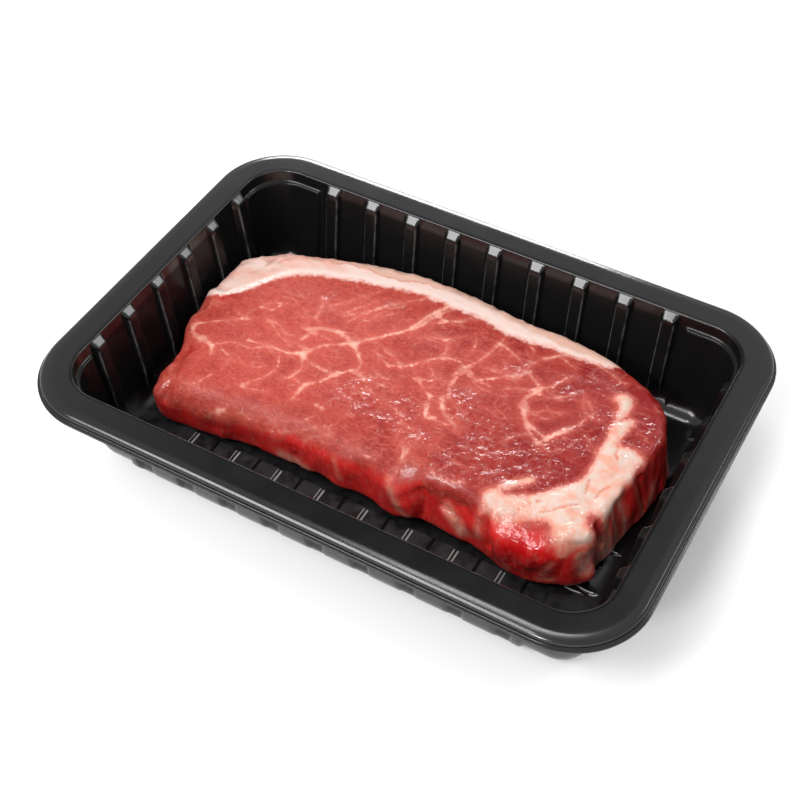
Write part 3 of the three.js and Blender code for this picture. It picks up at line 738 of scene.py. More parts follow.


# Fat veins and one painted highlight: the width at the start and at the end, then x and y of each
# point in plan.
VEINS_AND_GLINT = [
    (2.2, 1.2, -30, 11.5, -20.5, 21.5, -12, 31, -10, 38, -4.5, 47),
    (1.8, 0.9, -30, 11.5, -36, 14, -41, 13, -46, 11, -47.5, 5),
    (1.8, 1.2, -30, 11.5, -36, 7.5, -40.5, 3.5, -43.5, -1.5),
    (1.6, 0.7, -43.5, -1.5, -48, -4, -52.5, -4.5, -57.5, -5, -62, -9, -69.5, -9.5, -74.5, -12.5),
    (1.8, 1.1, -30, 11.5, -23.5, 5.5, -21.5, 2, -24, -1.5, -27.5, -5),
    (1.6, 0.9, -27.5, -5, -30, -10.5, -33.5, -14.5, -35, -22),
    (1.2, 0.9, -42.5, -3, -37.5, -5, -30.5, -5.5, -27.5, -5),
    (1.1, 0.7, -42.5, -3, -40.5, -8.5, -41, -13.5, -43.5, -16),
    (1.0, 0.8, -41, -13.5, -36.5, -15.5, -33.5, -14.5),
    (1.3, 0.6, -53, 27.5, -50.5, 22.5, -49.5, 16.5, -54, 14), (0.7, 0.5, -49.5, 16.5, -47, 14),
    (1.0, 0.7, -64.5, 6, -61, 7, -57, 5, -51.5, 1.5, -46, 1, -42, 1.5),
    (1.6, 0.8, -89, -6, -83, -2.6, -74.8, 2.4, -72.2, 3.3), (0.9, 0.6, -54.5, -27, -45, -24),
    (0.8, 0.5, -58.5, -41, -52, -37, -44, -36),
    (1.0, 0.6, -29, -39.5, -26, -35.5, -21, -31.5, -14, -28.5),
    (1.0, 0.6, -8.5, 35, -1, 40, 4.5, 44.5, 7, 47.5), (0.9, 0.6, -5, 12, -0.5, 17.5, 4.5, 21),
    (1.5, 0.6, 11, 18.5, 15, 24, 17, 30, 18.5, 36, 18.5, 41.5),
    (1.1, 0.7, 20, 24, 25.5, 24, 30.5, 25, 32.5, 28, 33, 33, 36, 38.5, 40, 42, 42, 44),
    (1.3, 0.9, 33.5, 30, 38, 27, 42.5, 25, 46, 30, 47.5, 34),
    (1.5, 0.8, 42, 24, 39.5, 18.5, 40.5, 14, 44, 7.5, 48.5, 5.5, 53.5, 4.5, 58, 9.5),
    (0.8, 0.5, 52, 0, 55, 5, 59.5, 11.5), (1.1, 0.6, 12.5, 3.5, 15, -2, 20.5, -5.5, 26, -7),
    (0.9, 0.7, 8.5, 1.5, 10.5, -4.5, 12, -8.5, 14.5, -6.5),
    (0.9, 0.5, 11, -23, 14.5, -26, 20.5, -27.5), (0.8, 0.5, 56.5, 28.5, 61, 25, 63.5, 21),
    (1.4, 3.2, -91, -6, -87.6, -10.6, -82.1, -12.4),
    (3.2, 1.2, -82.1, -12.4, -76.4, -14.8, -73.7, -18.6),
    (1.2, 2.4, -14.4, 28.9, -12.5, 36, -10, 42, -6, 49),
    (0.9, 0.6, -9.6, 38.9, -5.5, 38.6, -0.5, 41.3, 4.3, 47),
    (1.0, 0.6, -62, -37.5, -58, -36, -54, -34, -48.4, -33.4, -44, -33),
    (0.9, 0.6, -38.8, -34, -31.9, -33, -26.6, -31, -16.3, -26.4),
    (0.7, 0.4, -51.5, 9.5, -47.5, 9, -43, 9, -38.5, 9), (0.8, 0.4, -65.5, -6, -58, -5, -55.5, -6),
    (0.6, 0.4, -79, 6, -75.5, 4, -71, 4), (0.7, 0.4, -70.5, 11.5, -66, 12, -65, 15.5),
    (0.6, 0.4, -42, 22, -37.5, 29, -31, 37.5), (0.6, 0.4, -38, 19, -34, 27, -27.5, 35, -20.5, 43),
    (0.7, 0.4, -21.5, 11.5, -17.5, 10, -13, 8), (0.7, 0.5, -13, 8, -8.5, 9.5, -5, 12),
    (0.6, 0.4, -13.5, 0.5, -16, -3, -21, 0),
    (0.8, 0.4, -22.5, -1, -16.5, -2, -10.5, -2, -5.5, -1.5),
    (0.7, 0.4, -33.5, -22.5, -28, -22, -23, -20),
    (0.6, 0.4, -43, -30.5, -35.5, -30.5, -28, -28.5, -23, -24.5),
    (0.8, 0.5, 18.5, 37, 24, 36, 29, 33), (0.7, 0.4, 41, 42.5, 44, 41, 49.5, 38.5, 50, 35.5),
    (0.9, 0.5, 42, 44, 45, 44, 48.5, 43.5), (0.6, 0.4, 26, 26.5, 25, 30.5, 25, 34),
    (0.7, 0.4, 15.5, 19.5, 19.5, 17, 25, 16.5), (0.6, 0.4, 5, 21.5, 10, 22, 13.5, 19.5),
    (0.6, 0.4, -0.5, 7, 3.5, 4.5, 8.5, 1.5), (0.7, 0.4, 42.5, 21.5, 48.5, 22.5, 52.5, 26.5),
    (0.8, 0.5, 11, -23, 7, -20.5, 7.5, -16, 10.5, -15.5), (0.6, 0.4, 62, 18.5, 61, 14, 58.5, 10),
    (0.6, 0.4, 8.3, 37.6, 10.2, 33.9, 11.2, 29.6),
    (0.7, 0.4, -5.5, 28.3, -0.8, 29.1, 2.3, 32, 5.5, 34.9), (0.5, 0.3, 0.1, 29, 2.7, 25, 2.4, 20.2),
    (0.6, 0.3, 12.9, 18.4, 12.4, 10.7, 14.4, 4), (0.6, 0.3, 15.2, 17.9, 21.2, 14.4, 26.4, 13.8),
    (0.6, 0.4, 30.5, 17.7, 34.4, 20.4, 38.6, 21.6, 41.4, 24.2),
    (0.5, 0.4, 29, 42.2, 31.5, 39.5, 32.2, 36.3),
    (0.7, 0.3, -50.7, -7.4, -48.6, -12.1, -49.3, -17.1, -51.9, -21.9, -53.6, -25.1),
    (0.6, 0.3, -73.2, -34, -69.9, -31.1, -67.4, -26.3),
    (0.5, 0.3, -71.2, -14.9, -66, -17.4, -65.4, -23.5),
    (1.4, 0.7, -35.1, -22.9, -35.2, -20.1, -35.2, -17.4), (1.0, 0.5, -54.7, -26.2, -53.5, -23.3),
    (0.6, 0.4, -25.3, -20.9, -19.2, -22.5, -13.3, -22),
    (1.2, 0.5, 54, 45, 60.5, 43.2, 64.9, 41, 67.9, 40.5),
    (0.9, 0.5, 37.7, 39.3, 40.2, 41.8, 41.8, 44.5),
    (0.6, 0.3, 38.7, 13.3, 43.3, 12, 49.2, 12, 53.1, 16.2),
    (0.5, 0.3, 65.4, 10.6, 69.2, 8, 72.4, 5.1), (0.9, 0.5, 13, -25.7, 13.7, -30.5, 13.3, -34.8),
    (0.9, 0.4, 13, -25.7, 14.3, -20.9, 14.8, -17.4),
    (0.5, 0.3, -8.3, -26.8, -1.3, -30.4, 4.1, -30.6),
    (0.8, 0.4, -95, -6, -93, -2, -90.5, 3, -91, 8),
    (0.7, 0.4, -65.4, 7.5, -60.7, 4.5, -54.9, 1.1, -50.2, -0.6),
    (0.9, 0.6, -48.8, 9.8, -45.7, 12, -41.5, 13.7, -34.9, 13.1),
    (0.5, 0.3, -48.3, 3.4, -47.5, 6.3, -46.6, 9.1),
    (0.7, 0.3, -48, 24.4, -43.8, 28.6, -39.7, 34.5, -34.6, 41.1),
    (0.6, 0.3, -40.1, 22.4, -35.2, 26.9, -30.5, 32.6, -25, 39.9),
    (0.5, 0.3, -32.7, 22.7, -28.8, 26.7, -24.8, 31.9),
    (0.8, 0.5, -70.4, 11, -69.6, 14, -62.8, 17.7),
    (0.5, 0.3, -19.8, 43.3, -16.6, 47, -12.2, 48.7, -7.6, 48.1),
    (0.6, 0.4, 10.9, 16.7, 12, 9.9, 15.1, 4.3, 19.2, 1.1),
    (0.9, 0.6, 19.8, 17, 25.1, 21, 30.9, 24.1, 33.1, 28.7, 33.1, 34.5),
    (1.5, 0.8, 38.9, 16.2, 41.4, 11, 44.8, 5.8, 48.2, 2.8),
    (0.5, 0.3, 57.5, 26.2, 59.8, 22, 63.8, 19.9, 67.1, 19.5),
    (0.5, 0.3, 44.9, 12.8, 47.6, 15.4, 51.4, 16.4, 54.8, 17.7),
    (0.9, 0.5, 8.8, -2.9, 11.4, -7, 15.9, -7.8, 20.5, -7.4),
    (1.0, 0.5, 12.7, 1.9, 16.4, -2.6, 20.6, -5.2, 24.4, -8.5),
    (0.5, 0.3, 0.1, 7.4, 4.7, 8.2, 7.8, 11.6), (0.5, 0.3, -0.3, 15.8, 4, 11.8, 6.1, 5.6),
    # This stroke is a painted highlight: a glint on the wet film, drawn as a pale vein.
    (1.2, 0.5, 25.2, -27.8, 28.1, -28.7, 31.6, -29.3, 35, -28.5, 37.6, -27.6),
    (0.6, 0.4, 41.4, -4, 43.6, -0.7, 46.6, 2), (0.6, 0.3, 48.3, 1.8, 52.9, 0.2, 57, -1.8),
    (0.5, 0.3, 54, 2.9, 55.9, 7, 58.8, 10.7), (0.5, 0.3, -17.6, 14.1, -12.3, 12.2, -7.5, 9),
    (0.6, 0.3, -15.5, 2.4, -10.8, 1.5, -6.5, 2.7), (0.6, 0.3, -16, -6.9, -11.2, -6.6, -5.4, -7.9),
    (0.5, 0.3, -3.1, -8.9, 1.9, -10.5, 6, -14.8),
    (0.5, 0.3, -61.8, -16.9, -56.8, -17.7, -53.5, -14.7),
]

# Lumps and furrows: how far they are pushed out, their reach, and points along them.
LUMPS = [
    (3.0, 7.5, [(66, -37, 16), (72, -35, 17)]), (1.4, 3.6, [(55.5, -36.5, 19), (58, -37.5, 11)]),
    (2.3, 3.0, [(19.8, -35, 11), (20.5, -35, 8)]), (0.9, 3.0, [(11.3, -36, 20), (15, -36.5, 12)]),
    (2.0, 4.0, [(88, -27, 6)]), (1.4, 5.0, [(-95, 13, 22)]), (1.4, 8.0, [(-90, -28, 10)]),
    (1.2, 8.0, [(-10, -36, 6)]), (1.0, 8.0, [(90, 2, 8)]), (1.2, 4.0, [(46, -35, 14)]),
    (0.9, 8.0, [(-66, -39, 9)]), (0.8, 5.0, [(82, -31, 22)]), (0.8, 3.5, [(70, 33, 27)]),
    (-2.6, 2.0, [(-87, -18, 22), (-84, -28, 24), (-82, -35, 23.5), (-81, -40, 16)]),
    (-1.9, 1.4, [(49.5, -34.5, 24), (50.6, -35.5, 16.8), (53, -36.7, 11)]),
    (-2.4, 1.8, [(24, -33.3, 18), (25, -33.6, 11), (24, -34, 6)]),
    (-1.6, 1.3, [(31.6, -33.4, 14.5), (36.5, -33.8, 13.6)]),
    (-1.6, 2.6, [(-94, 3, 23), (-95, 3, 10)]), (-1.2, 6.0, [(38, -34, 20)]),
    (-1.3, 2.2, [(-91, 15, 24), (-96, 16, 18)]), (-1.0, 1.6, [(-54, -38, 18), (-50, -37, 8)]),
    (-1.2, 2.0, [(-63, -40, 20), (-60, -39, 9)]), (-0.8, 4.0, [(90, -8, 22)]),
    (-1.4, 1.3, [(84.5, -22, 25), (87, -20, 14)]), (-1.2, 1.4, [(89.5, 5.5, 24), (91.5, 6, 8)]),
    (-1.0, 3.0, [(-30, -35, 20)]), (-0.7, 1.2, [(-14, -34.5, 20), (-11, -35, 8)]),
    (-0.7, 1.0, [(-3, -34.5, 20), (4, -35, 8)]), (-0.6, 1.0, [(65, -30, 26.5), (64, -36, 24)]),
]
# The left end sinks towards the foot, and this is how far.
LEFT_SINK = 2.4

# Wet spots that sparkle: place in plan and reach.
WET_SPOTS = [
    (-14, -9, 9), (0, -12, 9), (-22, -16, 4), (14, -19, 5), (31, -22, 9), (17, -29, 3),
    (42, -15, 10), (36, -6, 9), (52, -6, 10), (62, -10, 8), (64, 9, 7), (70, 20, 6), (82, 22, 8),
    (84, 5, 6), (84, -3, 5), (80, -20, 6), (80, -28, 5), (60, -30, 8), (50, -18, 8), (30, 30, 5),
    (50, 30, 6), (-26, 36, 4), (-52, 30, 3), (-84, -30, 6), (-80, 36, 5), (20, 4, 7), (60, 40, 6),
]

# Bright red raw places: place and reach.
RAW_SPOTS = [
    (-85, -20, 23, 3.6), (66, -38, 15, 9), (73, -35, 14, 7), (20, -36, 11, 3),
    (-92, 12, 20, 3.5), (-89, 12, 25, 3), (28, -33, 14, 3.5), (-30, -36, 12, 4),
    (-52, -38, 8, 5),
]


def drawn_distance(points, features, blend=0.05):
    """The distance past the edge of the nearest feature, filled out where features meet."""
    nearness = np.full(len(points), math.exp(-FAR / blend))
    for start_half, end_half, line in features:
        gap, share = line_distance(points, catmull_rom(line, 4, False))
        half = start_half + (end_half - start_half) * share
        nearness += np.exp(np.minimum((half - gap) / blend, 400))
    return -blend * np.log(nearness)


def signed_distance(points, loop):
    """The distance in from the edge of a smooth closed outline, negative outside it."""
    loop = catmull_rom(loop, 4, True)
    gap, _ = line_distance(points, np.vstack([loop, loop[:1]]))
    return np.where(inside_polygon(points, loop), gap, -gap)


def side_of_line(points, line):
    """The distance behind an open line that runs from left to right, negative in front."""
    curve = catmull_rom(line, 4, False)
    gap, _ = line_distance(points, curve)
    behind = np.vstack([curve, [(110, 90), (-110, 90)]])
    return np.where(inside_polygon(points, behind), gap, -gap)


def spots(points, places):
    """A value that is 1 inside any of the round spots and fades to 0 round them."""
    value = np.zeros(len(points))
    for *centre, reach in places:
        near = np.linalg.norm(points - centre, axis=1) / reach
        value = np.maximum(value, 1 - ramp(near, 0.5, 1.5))
    return value


def steak_layers(base, sideways):
    """What the flesh is made of at each point, as distances in millimetres."""
    plan = base[:, :2]
    below = steak_top(base[:, 0]) - base[:, 2]
    leaning = plan + np.maximum(below - 2, 0)[:, None] * (0.0, 0.12)
    seam = signed_distance(leaning, SEAM_FAT)
    corner = ramp(-base[:, 1], 23, 29)
    seam += corner * (np.minimum(seam, 3.5 - below) - seam)
    streaks = drawn_distance(base, [(r, r, line) for r, line in SIDE_FAT])
    islands = drawn_distance(base, [(r, r, line) for r, line in SIDE_LEAN])
    seam = np.minimum(np.maximum(seam, -0.6 - streaks), islands - 0.6)
    # One of these strokes is a painted highlight of the wet film, drawn like a vein.
    strokes = [(w / 2, e / 2, np.reshape(line, (-1, 2))) for w, e, *line in VEINS_AND_GLINT]
    vein_and_glint = drawn_distance(plan, strokes, 0.8)
    crease = drawn_distance(plan, [(0, 0, line) for line in CREASES]) + 4 * sideways
    dark = below - np.interp(base[:, 0], *zip(*DARK_BELOW))
    front = ramp(-plan[:, 1], 5, 20) * (0.2 + 0.8 * ramp(plan[:, 0], 15, 50))
    wet = np.maximum(spots(plan, WET_SPOTS), sideways * (0.12 + 0.88 * front))
    return {"cap_mm": side_of_line(plan, CAP_SEAM), "rind_mm": side_of_line(plan, RIND_LINE),
            "seam_mm": seam, "vein_and_glint_mm": vein_and_glint, "crease_mm": crease, "dark_mm": dark, "wet": wet,
            "raw": spots(base, RAW_SPOTS)}


def steak_relief(base, sideways, layers):
    """How far each point of the surface is pushed out along its normal."""
    on_top = 1 - sideways
    cap, seam, wet = layers["cap_mm"], layers["seam_mm"], layers["wet"]
    upright = base * (1, 1, 0.45)
    move = 0.5 * noise(base, 38, 21) + 0.3 * noise(base, 16, 22)
    move += sideways * (0.8 * noise(upright, 8, 23) + 0.55 * noise(upright, 3.4, 24))
    move += on_top * (0.12 * noise(base, 7, 23) + 0.07 * noise(base, 3.2, 24))
    move += (0.02 + 0.17 * wet) * noise(base, 2.4, 25) + 0.08 * wet * noise(base, 1.5, 26)
    move += layers["raw"] * (0.24 * noise(base, 2.8, 31) + 0.15 * noise(base, 1.7, 32))
    move += on_top * 0.08 * (1 - ramp(layers["vein_and_glint_mm"], -0.6, 0.9))
    in_cap, in_seam = ramp(cap, -1.5, 2.2), ramp(seam, -1.2, 1.8)
    move += on_top * (0.25 * in_cap + in_seam * (0.5 + 0.45 * noise(base, 6, 27)))
    move -= 0.35 * (1 - ramp(layers["crease_mm"], 0.0, 1.1))
    frost = ramp(-base[:, 0], 70, 78) * np.exp(-(cap - 1.0)**2 / 2.4)
    move += frost * (0.1 + 0.4 * noise(base, 1.9, 28))
    skin = ramp(cap, 6, 10) * ramp(base[:, 2], 8, 18)
    move += skin * (0.5 * noise(base, 4.2, 29) + 0.35 * noise(base, 2.2, 30))
    for push, reach, line in LUMPS:
        line = catmull_rom(line, 4, False) if len(line) > 1 else line + line
        gap, _ = line_distance(base, line)
        move += push * np.exp(-(gap / reach)**2)
    return move


def make_steak(material):
    """The steak as one closed mesh: its sides as rings, its top as a grid, and its underside."""
    across, up = STEPS_ALONG, STEPS_ACROSS
    rows = steak_rows(steak_stations())
    count = len(rows[0])
    side = np.vstack(rows)
    inner = top_patch(rows[-1])[1:-1, 1:-1].reshape(-1, 3)
    base = np.vstack([side, inner])

    # The grid's rim is the last ring, and its inside has points of its own.
    last = len(side) - count
    index = np.empty((across + 1, up + 1), int)
    index[1:-1, 1:-1] = len(side) + np.arange(len(inner)).reshape(across - 1, up - 1)
    index[:, 0] = last + np.arange(across + 1)
    index[-1, :] = last + across + np.arange(up + 1)
    index[:, -1] = last + across + up + np.arange(across + 1)[::-1]
    index[0, 1:] = last + (2 * across + up + np.arange(up + 1))[::-1][1:] % count
    patch = np.stack([index[:-1, :-1], index[1:, :-1], index[1:, 1:], index[:-1, 1:]], 2)
    quads = np.vstack([ring_quads(count, len(rows)), patch.reshape(-1, 4)])

    normals = vertex_normals(base, quads)
    sideways = 1 - ramp(normals[:, 2], 0.3, 0.85)
    under = ramp(normals[:, 2], -0.2, -0.7)
    layers = steak_layers(base, sideways)
    move = steak_relief(base, sideways, layers) * (1 - under)
    vertices = base + normals * move[:, None]
    vertices[:, 2] -= LEFT_SINK * ramp(-base[:, 0], 70, 93) * ramp(base[:, 2], 14, 24)
    faces = quads.tolist() + [list(range(count))[::-1]]
    return mesh_object("steak_raw", vertices, faces, material, layers)


# ---- Materials ------------------------------------------------------------------------------
class Nodes:
    """Short calls for the nodes of one tree. Vectors are in millimetres."""

    def __init__(self, tree):
        self.tree = tree

    def put(self, socket, value):
        """Links a socket to another node's output, or sets it to a plain value."""
        if isinstance(value, bpy.types.NodeSocket):
            self.tree.links.new(value, socket)
        else:
            socket.default_value = value

    def node(self, kind, inputs=(), operation=None):
        """A new node with its operation and its first or its named inputs set."""
        node = self.tree.nodes.new("ShaderNode" + kind)
        if operation:
            node.operation = operation
        for key, value in inputs.items() if isinstance(inputs, dict) else enumerate(inputs):
            self.put(node.inputs[key], value)
        return node

    def place(self, stretch=(1, 1, 1)):
        """The point on the piece in millimetres, stretched along the axes."""
        scale = tuple(1000 * k for k in stretch)
        return self.vector("MULTIPLY", self.node("TexCoord").outputs["Object"], scale)

    def vector(self, operation, a, b):
        return self.node("VectorMath", (a, b), operation).outputs["Vector"]

    def axis(self, vector, name):
        return self.node("SeparateXYZ", (vector,)).outputs[name]

    def attribute(self, name):
        node = self.node("Attribute")
        node.attribute_name = name
        return node.outputs["Fac"]

    def noise(self, vector, size, detail=2.0, rough=0.5, output="Fac"):
        inputs = {"Vector": vector, "Scale": 1 / size, "Detail": detail, "Roughness": rough}
        return self.node("TexNoise", inputs).outputs[output]

    def math(self, operation, a, b=0.0, c=0.0):
        return self.node("Math", (a, b, c), operation).outputs[0]

    def times(self, a, b):
        return self.math("MULTIPLY", a, b)

    def total(self, first, *terms):
        """A value plus other values, each times a number."""
        for value, share in terms:
            first = self.math("MULTIPLY_ADD", value, share, first)
        return first

    def centred(self, size, detail):
        """Noise on the piece that is centred on 0."""
        return self.math("SUBTRACT", self.noise(self.place(), size, detail), 0.5)

    def ridge(self, vector, size):
        """A value that is 0 on long winding lines and grows away from them."""
        return self.math("ABSOLUTE", self.math("SUBTRACT", self.noise(vector, size, 1), 0.5))

    def remap(self, value, low, high, to_low=0.0, to_high=1.0):
        """A smooth step from one range to another."""
        node = self.node("MapRange", (value, low, high, to_low, to_high))
        node.interpolation_type = "SMOOTHSTEP"
        return node.outputs[0]

    def mix(self, factor, a, b):
        """A colour that goes from a to b with the factor."""
        node = self.node("Mix", (factor,))
        node.data_type = "RGBA"
        sockets = [s for s in node.inputs if s.type == "RGBA"]
        for socket, color in zip(sockets, (a, b)):
            self.put(socket, color if isinstance(color, bpy.types.NodeSocket) else (*color, 1))
        return [s for s in node.outputs if s.type == "RGBA"][0]

    def bump(self, height, depth):
        """A normal from a height of 0 to 1 that stands for depth in millimetres."""
        return self.node("Bump", {"Distance": depth * MM, "Height": height}).outputs["Normal"]


class Shading(Nodes):
    """One material with a Principled shader."""

    def __init__(self, name):
        self.material = bpy.data.materials.new(name)
        self.material.use_nodes = True
        super().__init__(self.material.node_tree)
        self.tree.nodes.clear()
        output = self.tree.nodes.new("ShaderNodeOutputMaterial")
        self.shader = self.tree.nodes.new("ShaderNodeBsdfPrincipled")
        self.tree.links.new(self.shader.outputs[0], output.inputs["Surface"])

    def set(self, **values):
        """Sets or links the shader's own sockets, with _ for a space in a name."""
        for name, value in values.items():
            self.put(self.shader.inputs[name.replace("_", " ")], value)


def srgb(r, g, b):
    """A colour as a screen shows it, 0 to 255, as the linear values that a shader takes."""
    values = [v / 255 for v in (r, g, b)]
    return tuple(v / 12.92 if v <= 0.04045 else ((v + 0.055) / 1.055) ** 2.4 for v in values)


# The pale grey is painted light: highlights and the front floor's sheen on the black sheet.
SHEET_BLACK, SHEET_PAINTED_LIGHT = (0.0055, 0.0055, 0.006), (0.5, 0.5, 0.5)
LEAN_LIGHT, LEAN_DEEP = srgb(168, 66, 55), srgb(120, 7, 8)
LEAN_PALE, LEAN_SIDE, LEAN_RAW = srgb(184, 82, 70), srgb(190, 34, 32), srgb(170, 8, 13)
VEIN_AND_GLINT_CORE, VEIN_AND_GLINT_EDGE, VEIN_AND_GLINT_HALO = srgb(214, 164, 148), srgb(198, 116, 102), srgb(190, 90, 76)
SIDE_STREAK = srgb(184, 84, 76)
SEAM_LIGHT, SEAM_SALMON, SEAM_RIM = srgb(195, 173, 161), srgb(202, 144, 124), srgb(200, 108, 92)
# The seam fat's colour for the sides holds painted shade.
SEAM_SIDE_SHADE, SEAM_FOLD = srgb(192, 100, 82), srgb(186, 92, 62)
CAP_WHITE, CAP_SKIN, CAP_FOLD = srgb(212, 192, 184), srgb(194, 160, 144), srgb(186, 112, 88)
CAP_PINK, CAP_RIM, CAP_FROST = srgb(202, 148, 132), srgb(204, 132, 118), srgb(226, 208, 200)


def tray_material():
    """Glossy black sheet, duller on its inner walls, with painted highlights at its folds, bead
    edges and streaks, and a painted floor sheen.
    """
    m = Shading("tray_black")
    place = m.place()
    # Painted paler: highlight lines at the rib folds, and a grey sheen on the front floor.
    crease_tint_and_painted_light = m.times(m.attribute("crease_tint_and_painted_light"), m.remap(m.noise(place, 5, 2), 0.3, 0.6, 0.05, 0.2))
    # Painted highlights along the bead edges and the floor streaks.
    bead_highlight = m.remap(m.attribute("bead_mm"), 0.1, 0.34, 1, 0)
    m.set(Base_Color=m.mix(bead_highlight, m.mix(crease_tint_and_painted_light, SHEET_BLACK, SHEET_PAINTED_LIGHT), SHEET_PAINTED_LIGHT))
    m.set(Specular_IOR_Level=m.remap(m.attribute("wall"), 0, 1, 0.5, 0.12))
    m.set(Roughness=m.remap(m.noise(place, 14, 3), 0.3, 0.7, 0.14, 0.19))
    m.set(Normal=m.bump(m.noise(place, 0.35, 3), 0.012))
    return m.material


def steak_material():
    """Raw beef with its marbling, seam fat and fat cap, under a wet film."""
    m = Shading("steak_flesh")
    place = m.place()
    cap, rind, seam = m.attribute("cap_mm"), m.attribute("rind_mm"), m.attribute("seam_mm")
    vein_and_glint, crease = m.attribute("vein_and_glint_mm"), m.attribute("crease_mm")
    wet, raw = m.attribute("wet"), m.attribute("raw")
    x_mm = m.axis(place, "X")
    coarse, edge = m.centred(4.2, 2), m.centred(1.5, 3)
    drift = m.vector("SUBTRACT", m.noise(place, 9, 2, output="Color"), (0.5, 0.5, 0.5))
    warped = m.vector("ADD", place, m.vector("MULTIPLY", drift, (8, 8, 3)))
    side = m.remap(m.total(m.attribute("dark_mm"), (coarse, 5), (edge, 2)), -2.2, 2.4)

    # Marbling: the drawn veins with uneven edges, and finer threads between them. One drawn line is
    # a painted highlight of the wet film.
    vein_and_glint_line = m.total(vein_and_glint, (coarse, 1.6), (edge, 2.4))
    strength = m.remap(m.noise(place, 6, 2), 0.36, 0.6, 0.35, 0.92)
    vein_and_glint_share = m.times(m.remap(vein_and_glint_line, -0.75, 0.5, 1, 0), strength)
    halo = m.remap(vein_and_glint, 0, 3.0, 0.22, 0)
    web = m.remap(m.ridge(m.place((0.4, 1, 1)), 5), 0.0, 0.04, 0.32, 0)
    web = m.times(web, m.remap(m.noise(place, 9, 2), 0.46, 0.62))
    threads = m.remap(m.ridge(m.place((1, 0.3, 1)), 2.8), 0.0, 0.05, 0.2, 0)
    threads = m.times(threads, m.remap(m.noise(place, 4, 2), 0.44, 0.62))
    fat = m.math("MAXIMUM", vein_and_glint_share, m.math("MAXIMUM", web, threads))

    # Lean: salmon on the left, deeper to the right, and bright red down the sides.
    deep = m.remap(x_mm, -50, 80, 0.1, 0.9)
    deep = m.math("ADD", deep, m.remap(m.noise(place, 15, 2), 0.35, 0.7, -0.15, 0.3))
    lean = m.mix(deep, LEAN_LIGHT, LEAN_DEEP)
    left = m.remap(x_mm, 10, 60, 1, 0.3)
    mottle = m.noise(m.vector("MULTIPLY", place, (0.5, 1, 1)), 1.0, 3, 0.65)
    lean = m.mix(m.times(m.remap(mottle, 0.3, 0.72, -0.2, 0.5), left), lean, LEAN_PALE)
    smudge = m.noise(m.vector("MULTIPLY", warped, (0.35, 1, 1)), 3.4, 2)
    lean = m.mix(m.times(m.remap(smudge, 0.5, 0.68, 0, 0.32), left), lean, LEAN_PALE)
    fibre = m.remap(m.noise(m.vector("MULTIPLY", warped, (0.45, 1.3, 1)), 0.9, 2), 0.35, 0.65)
    lean = m.mix(m.times(fibre, 0.42), lean, LEAN_DEEP)
    lean = m.mix(halo, lean, VEIN_AND_GLINT_HALO)
    lean = m.mix(side, lean, LEAN_SIDE)
    lean = m.mix(m.times(raw, m.remap(coarse, -0.12, 0.1, 0.4, 0.9)), lean, LEAN_RAW)
    upright = m.place((1, 1, 0.3))
    slant = m.total(x_mm, (m.axis(place, "Z"), 0.62), (coarse, 7))
    streak = m.times(m.remap(m.noise(slant, 2.4, 3), 0.5, 0.7, 0, 0.42),
                     m.remap(m.math("ABSOLUTE", x_mm), 44, 26))
    streak = m.math("MAXIMUM", streak, m.remap(m.noise(upright, 1.6, 3), 0.52, 0.7, 0, 0.45))
    lean = m.mix(m.times(side, streak), lean, SIDE_STREAK)
    # The vein colours also paint the wet film's highlight stroke.
    vein_and_glint_color = m.mix(m.remap(vein_and_glint_line, -1.4, 0.0), VEIN_AND_GLINT_CORE, VEIN_AND_GLINT_EDGE)
    vein_and_glint_color = m.mix(m.times(side, 0.75), vein_and_glint_color, SIDE_STREAK)
    fat = m.times(fat, m.remap(side, 0.0, 0.9, 1, 0.3))
    flesh = m.mix(fat, lean, vein_and_glint_color)

    # Seam fat: cream with salmon patches and a few orange folds, painted darker on the sides as
    # shade.
    seam_line = m.math("ADD", m.total(seam, (coarse, 1.9), (edge, 1.9)), 0.6)
    flesh = m.mix(m.remap(seam_line, -2.4, 0, 0, 0.45), flesh, SEAM_RIM)
    seam_color = m.mix(m.remap(m.noise(warped, 7, 3), 0.4, 0.66), SEAM_LIGHT, SEAM_SALMON)
    seam_color = m.mix(m.remap(seam_line, 0.2, 2.2, 0.6, 0), seam_color, SEAM_RIM)
    # On the sides the seam fat is painted darker salmon in streaks: painted shade over its streaky
    # tone.
    shaded_side_streaks = m.times(side, m.remap(m.noise(upright, 1.5, 2), 0.42, 0.62, 0.45, 0.9))
    seam_color = m.mix(shaded_side_streaks, seam_color, SEAM_SIDE_SHADE)
    crease_tint_and_painted_light = m.remap(m.total(crease, (edge, 1.6)), 0.0, 0.9, 0.65, 0)
    seam_color = m.mix(crease_tint_and_painted_light, seam_color, SEAM_FOLD)
    seam_here = m.times(m.remap(seam_line, -0.5, 0.6), m.remap(side, 0, 1, 1, 0.85))
    flesh = m.mix(seam_here, flesh, seam_color)

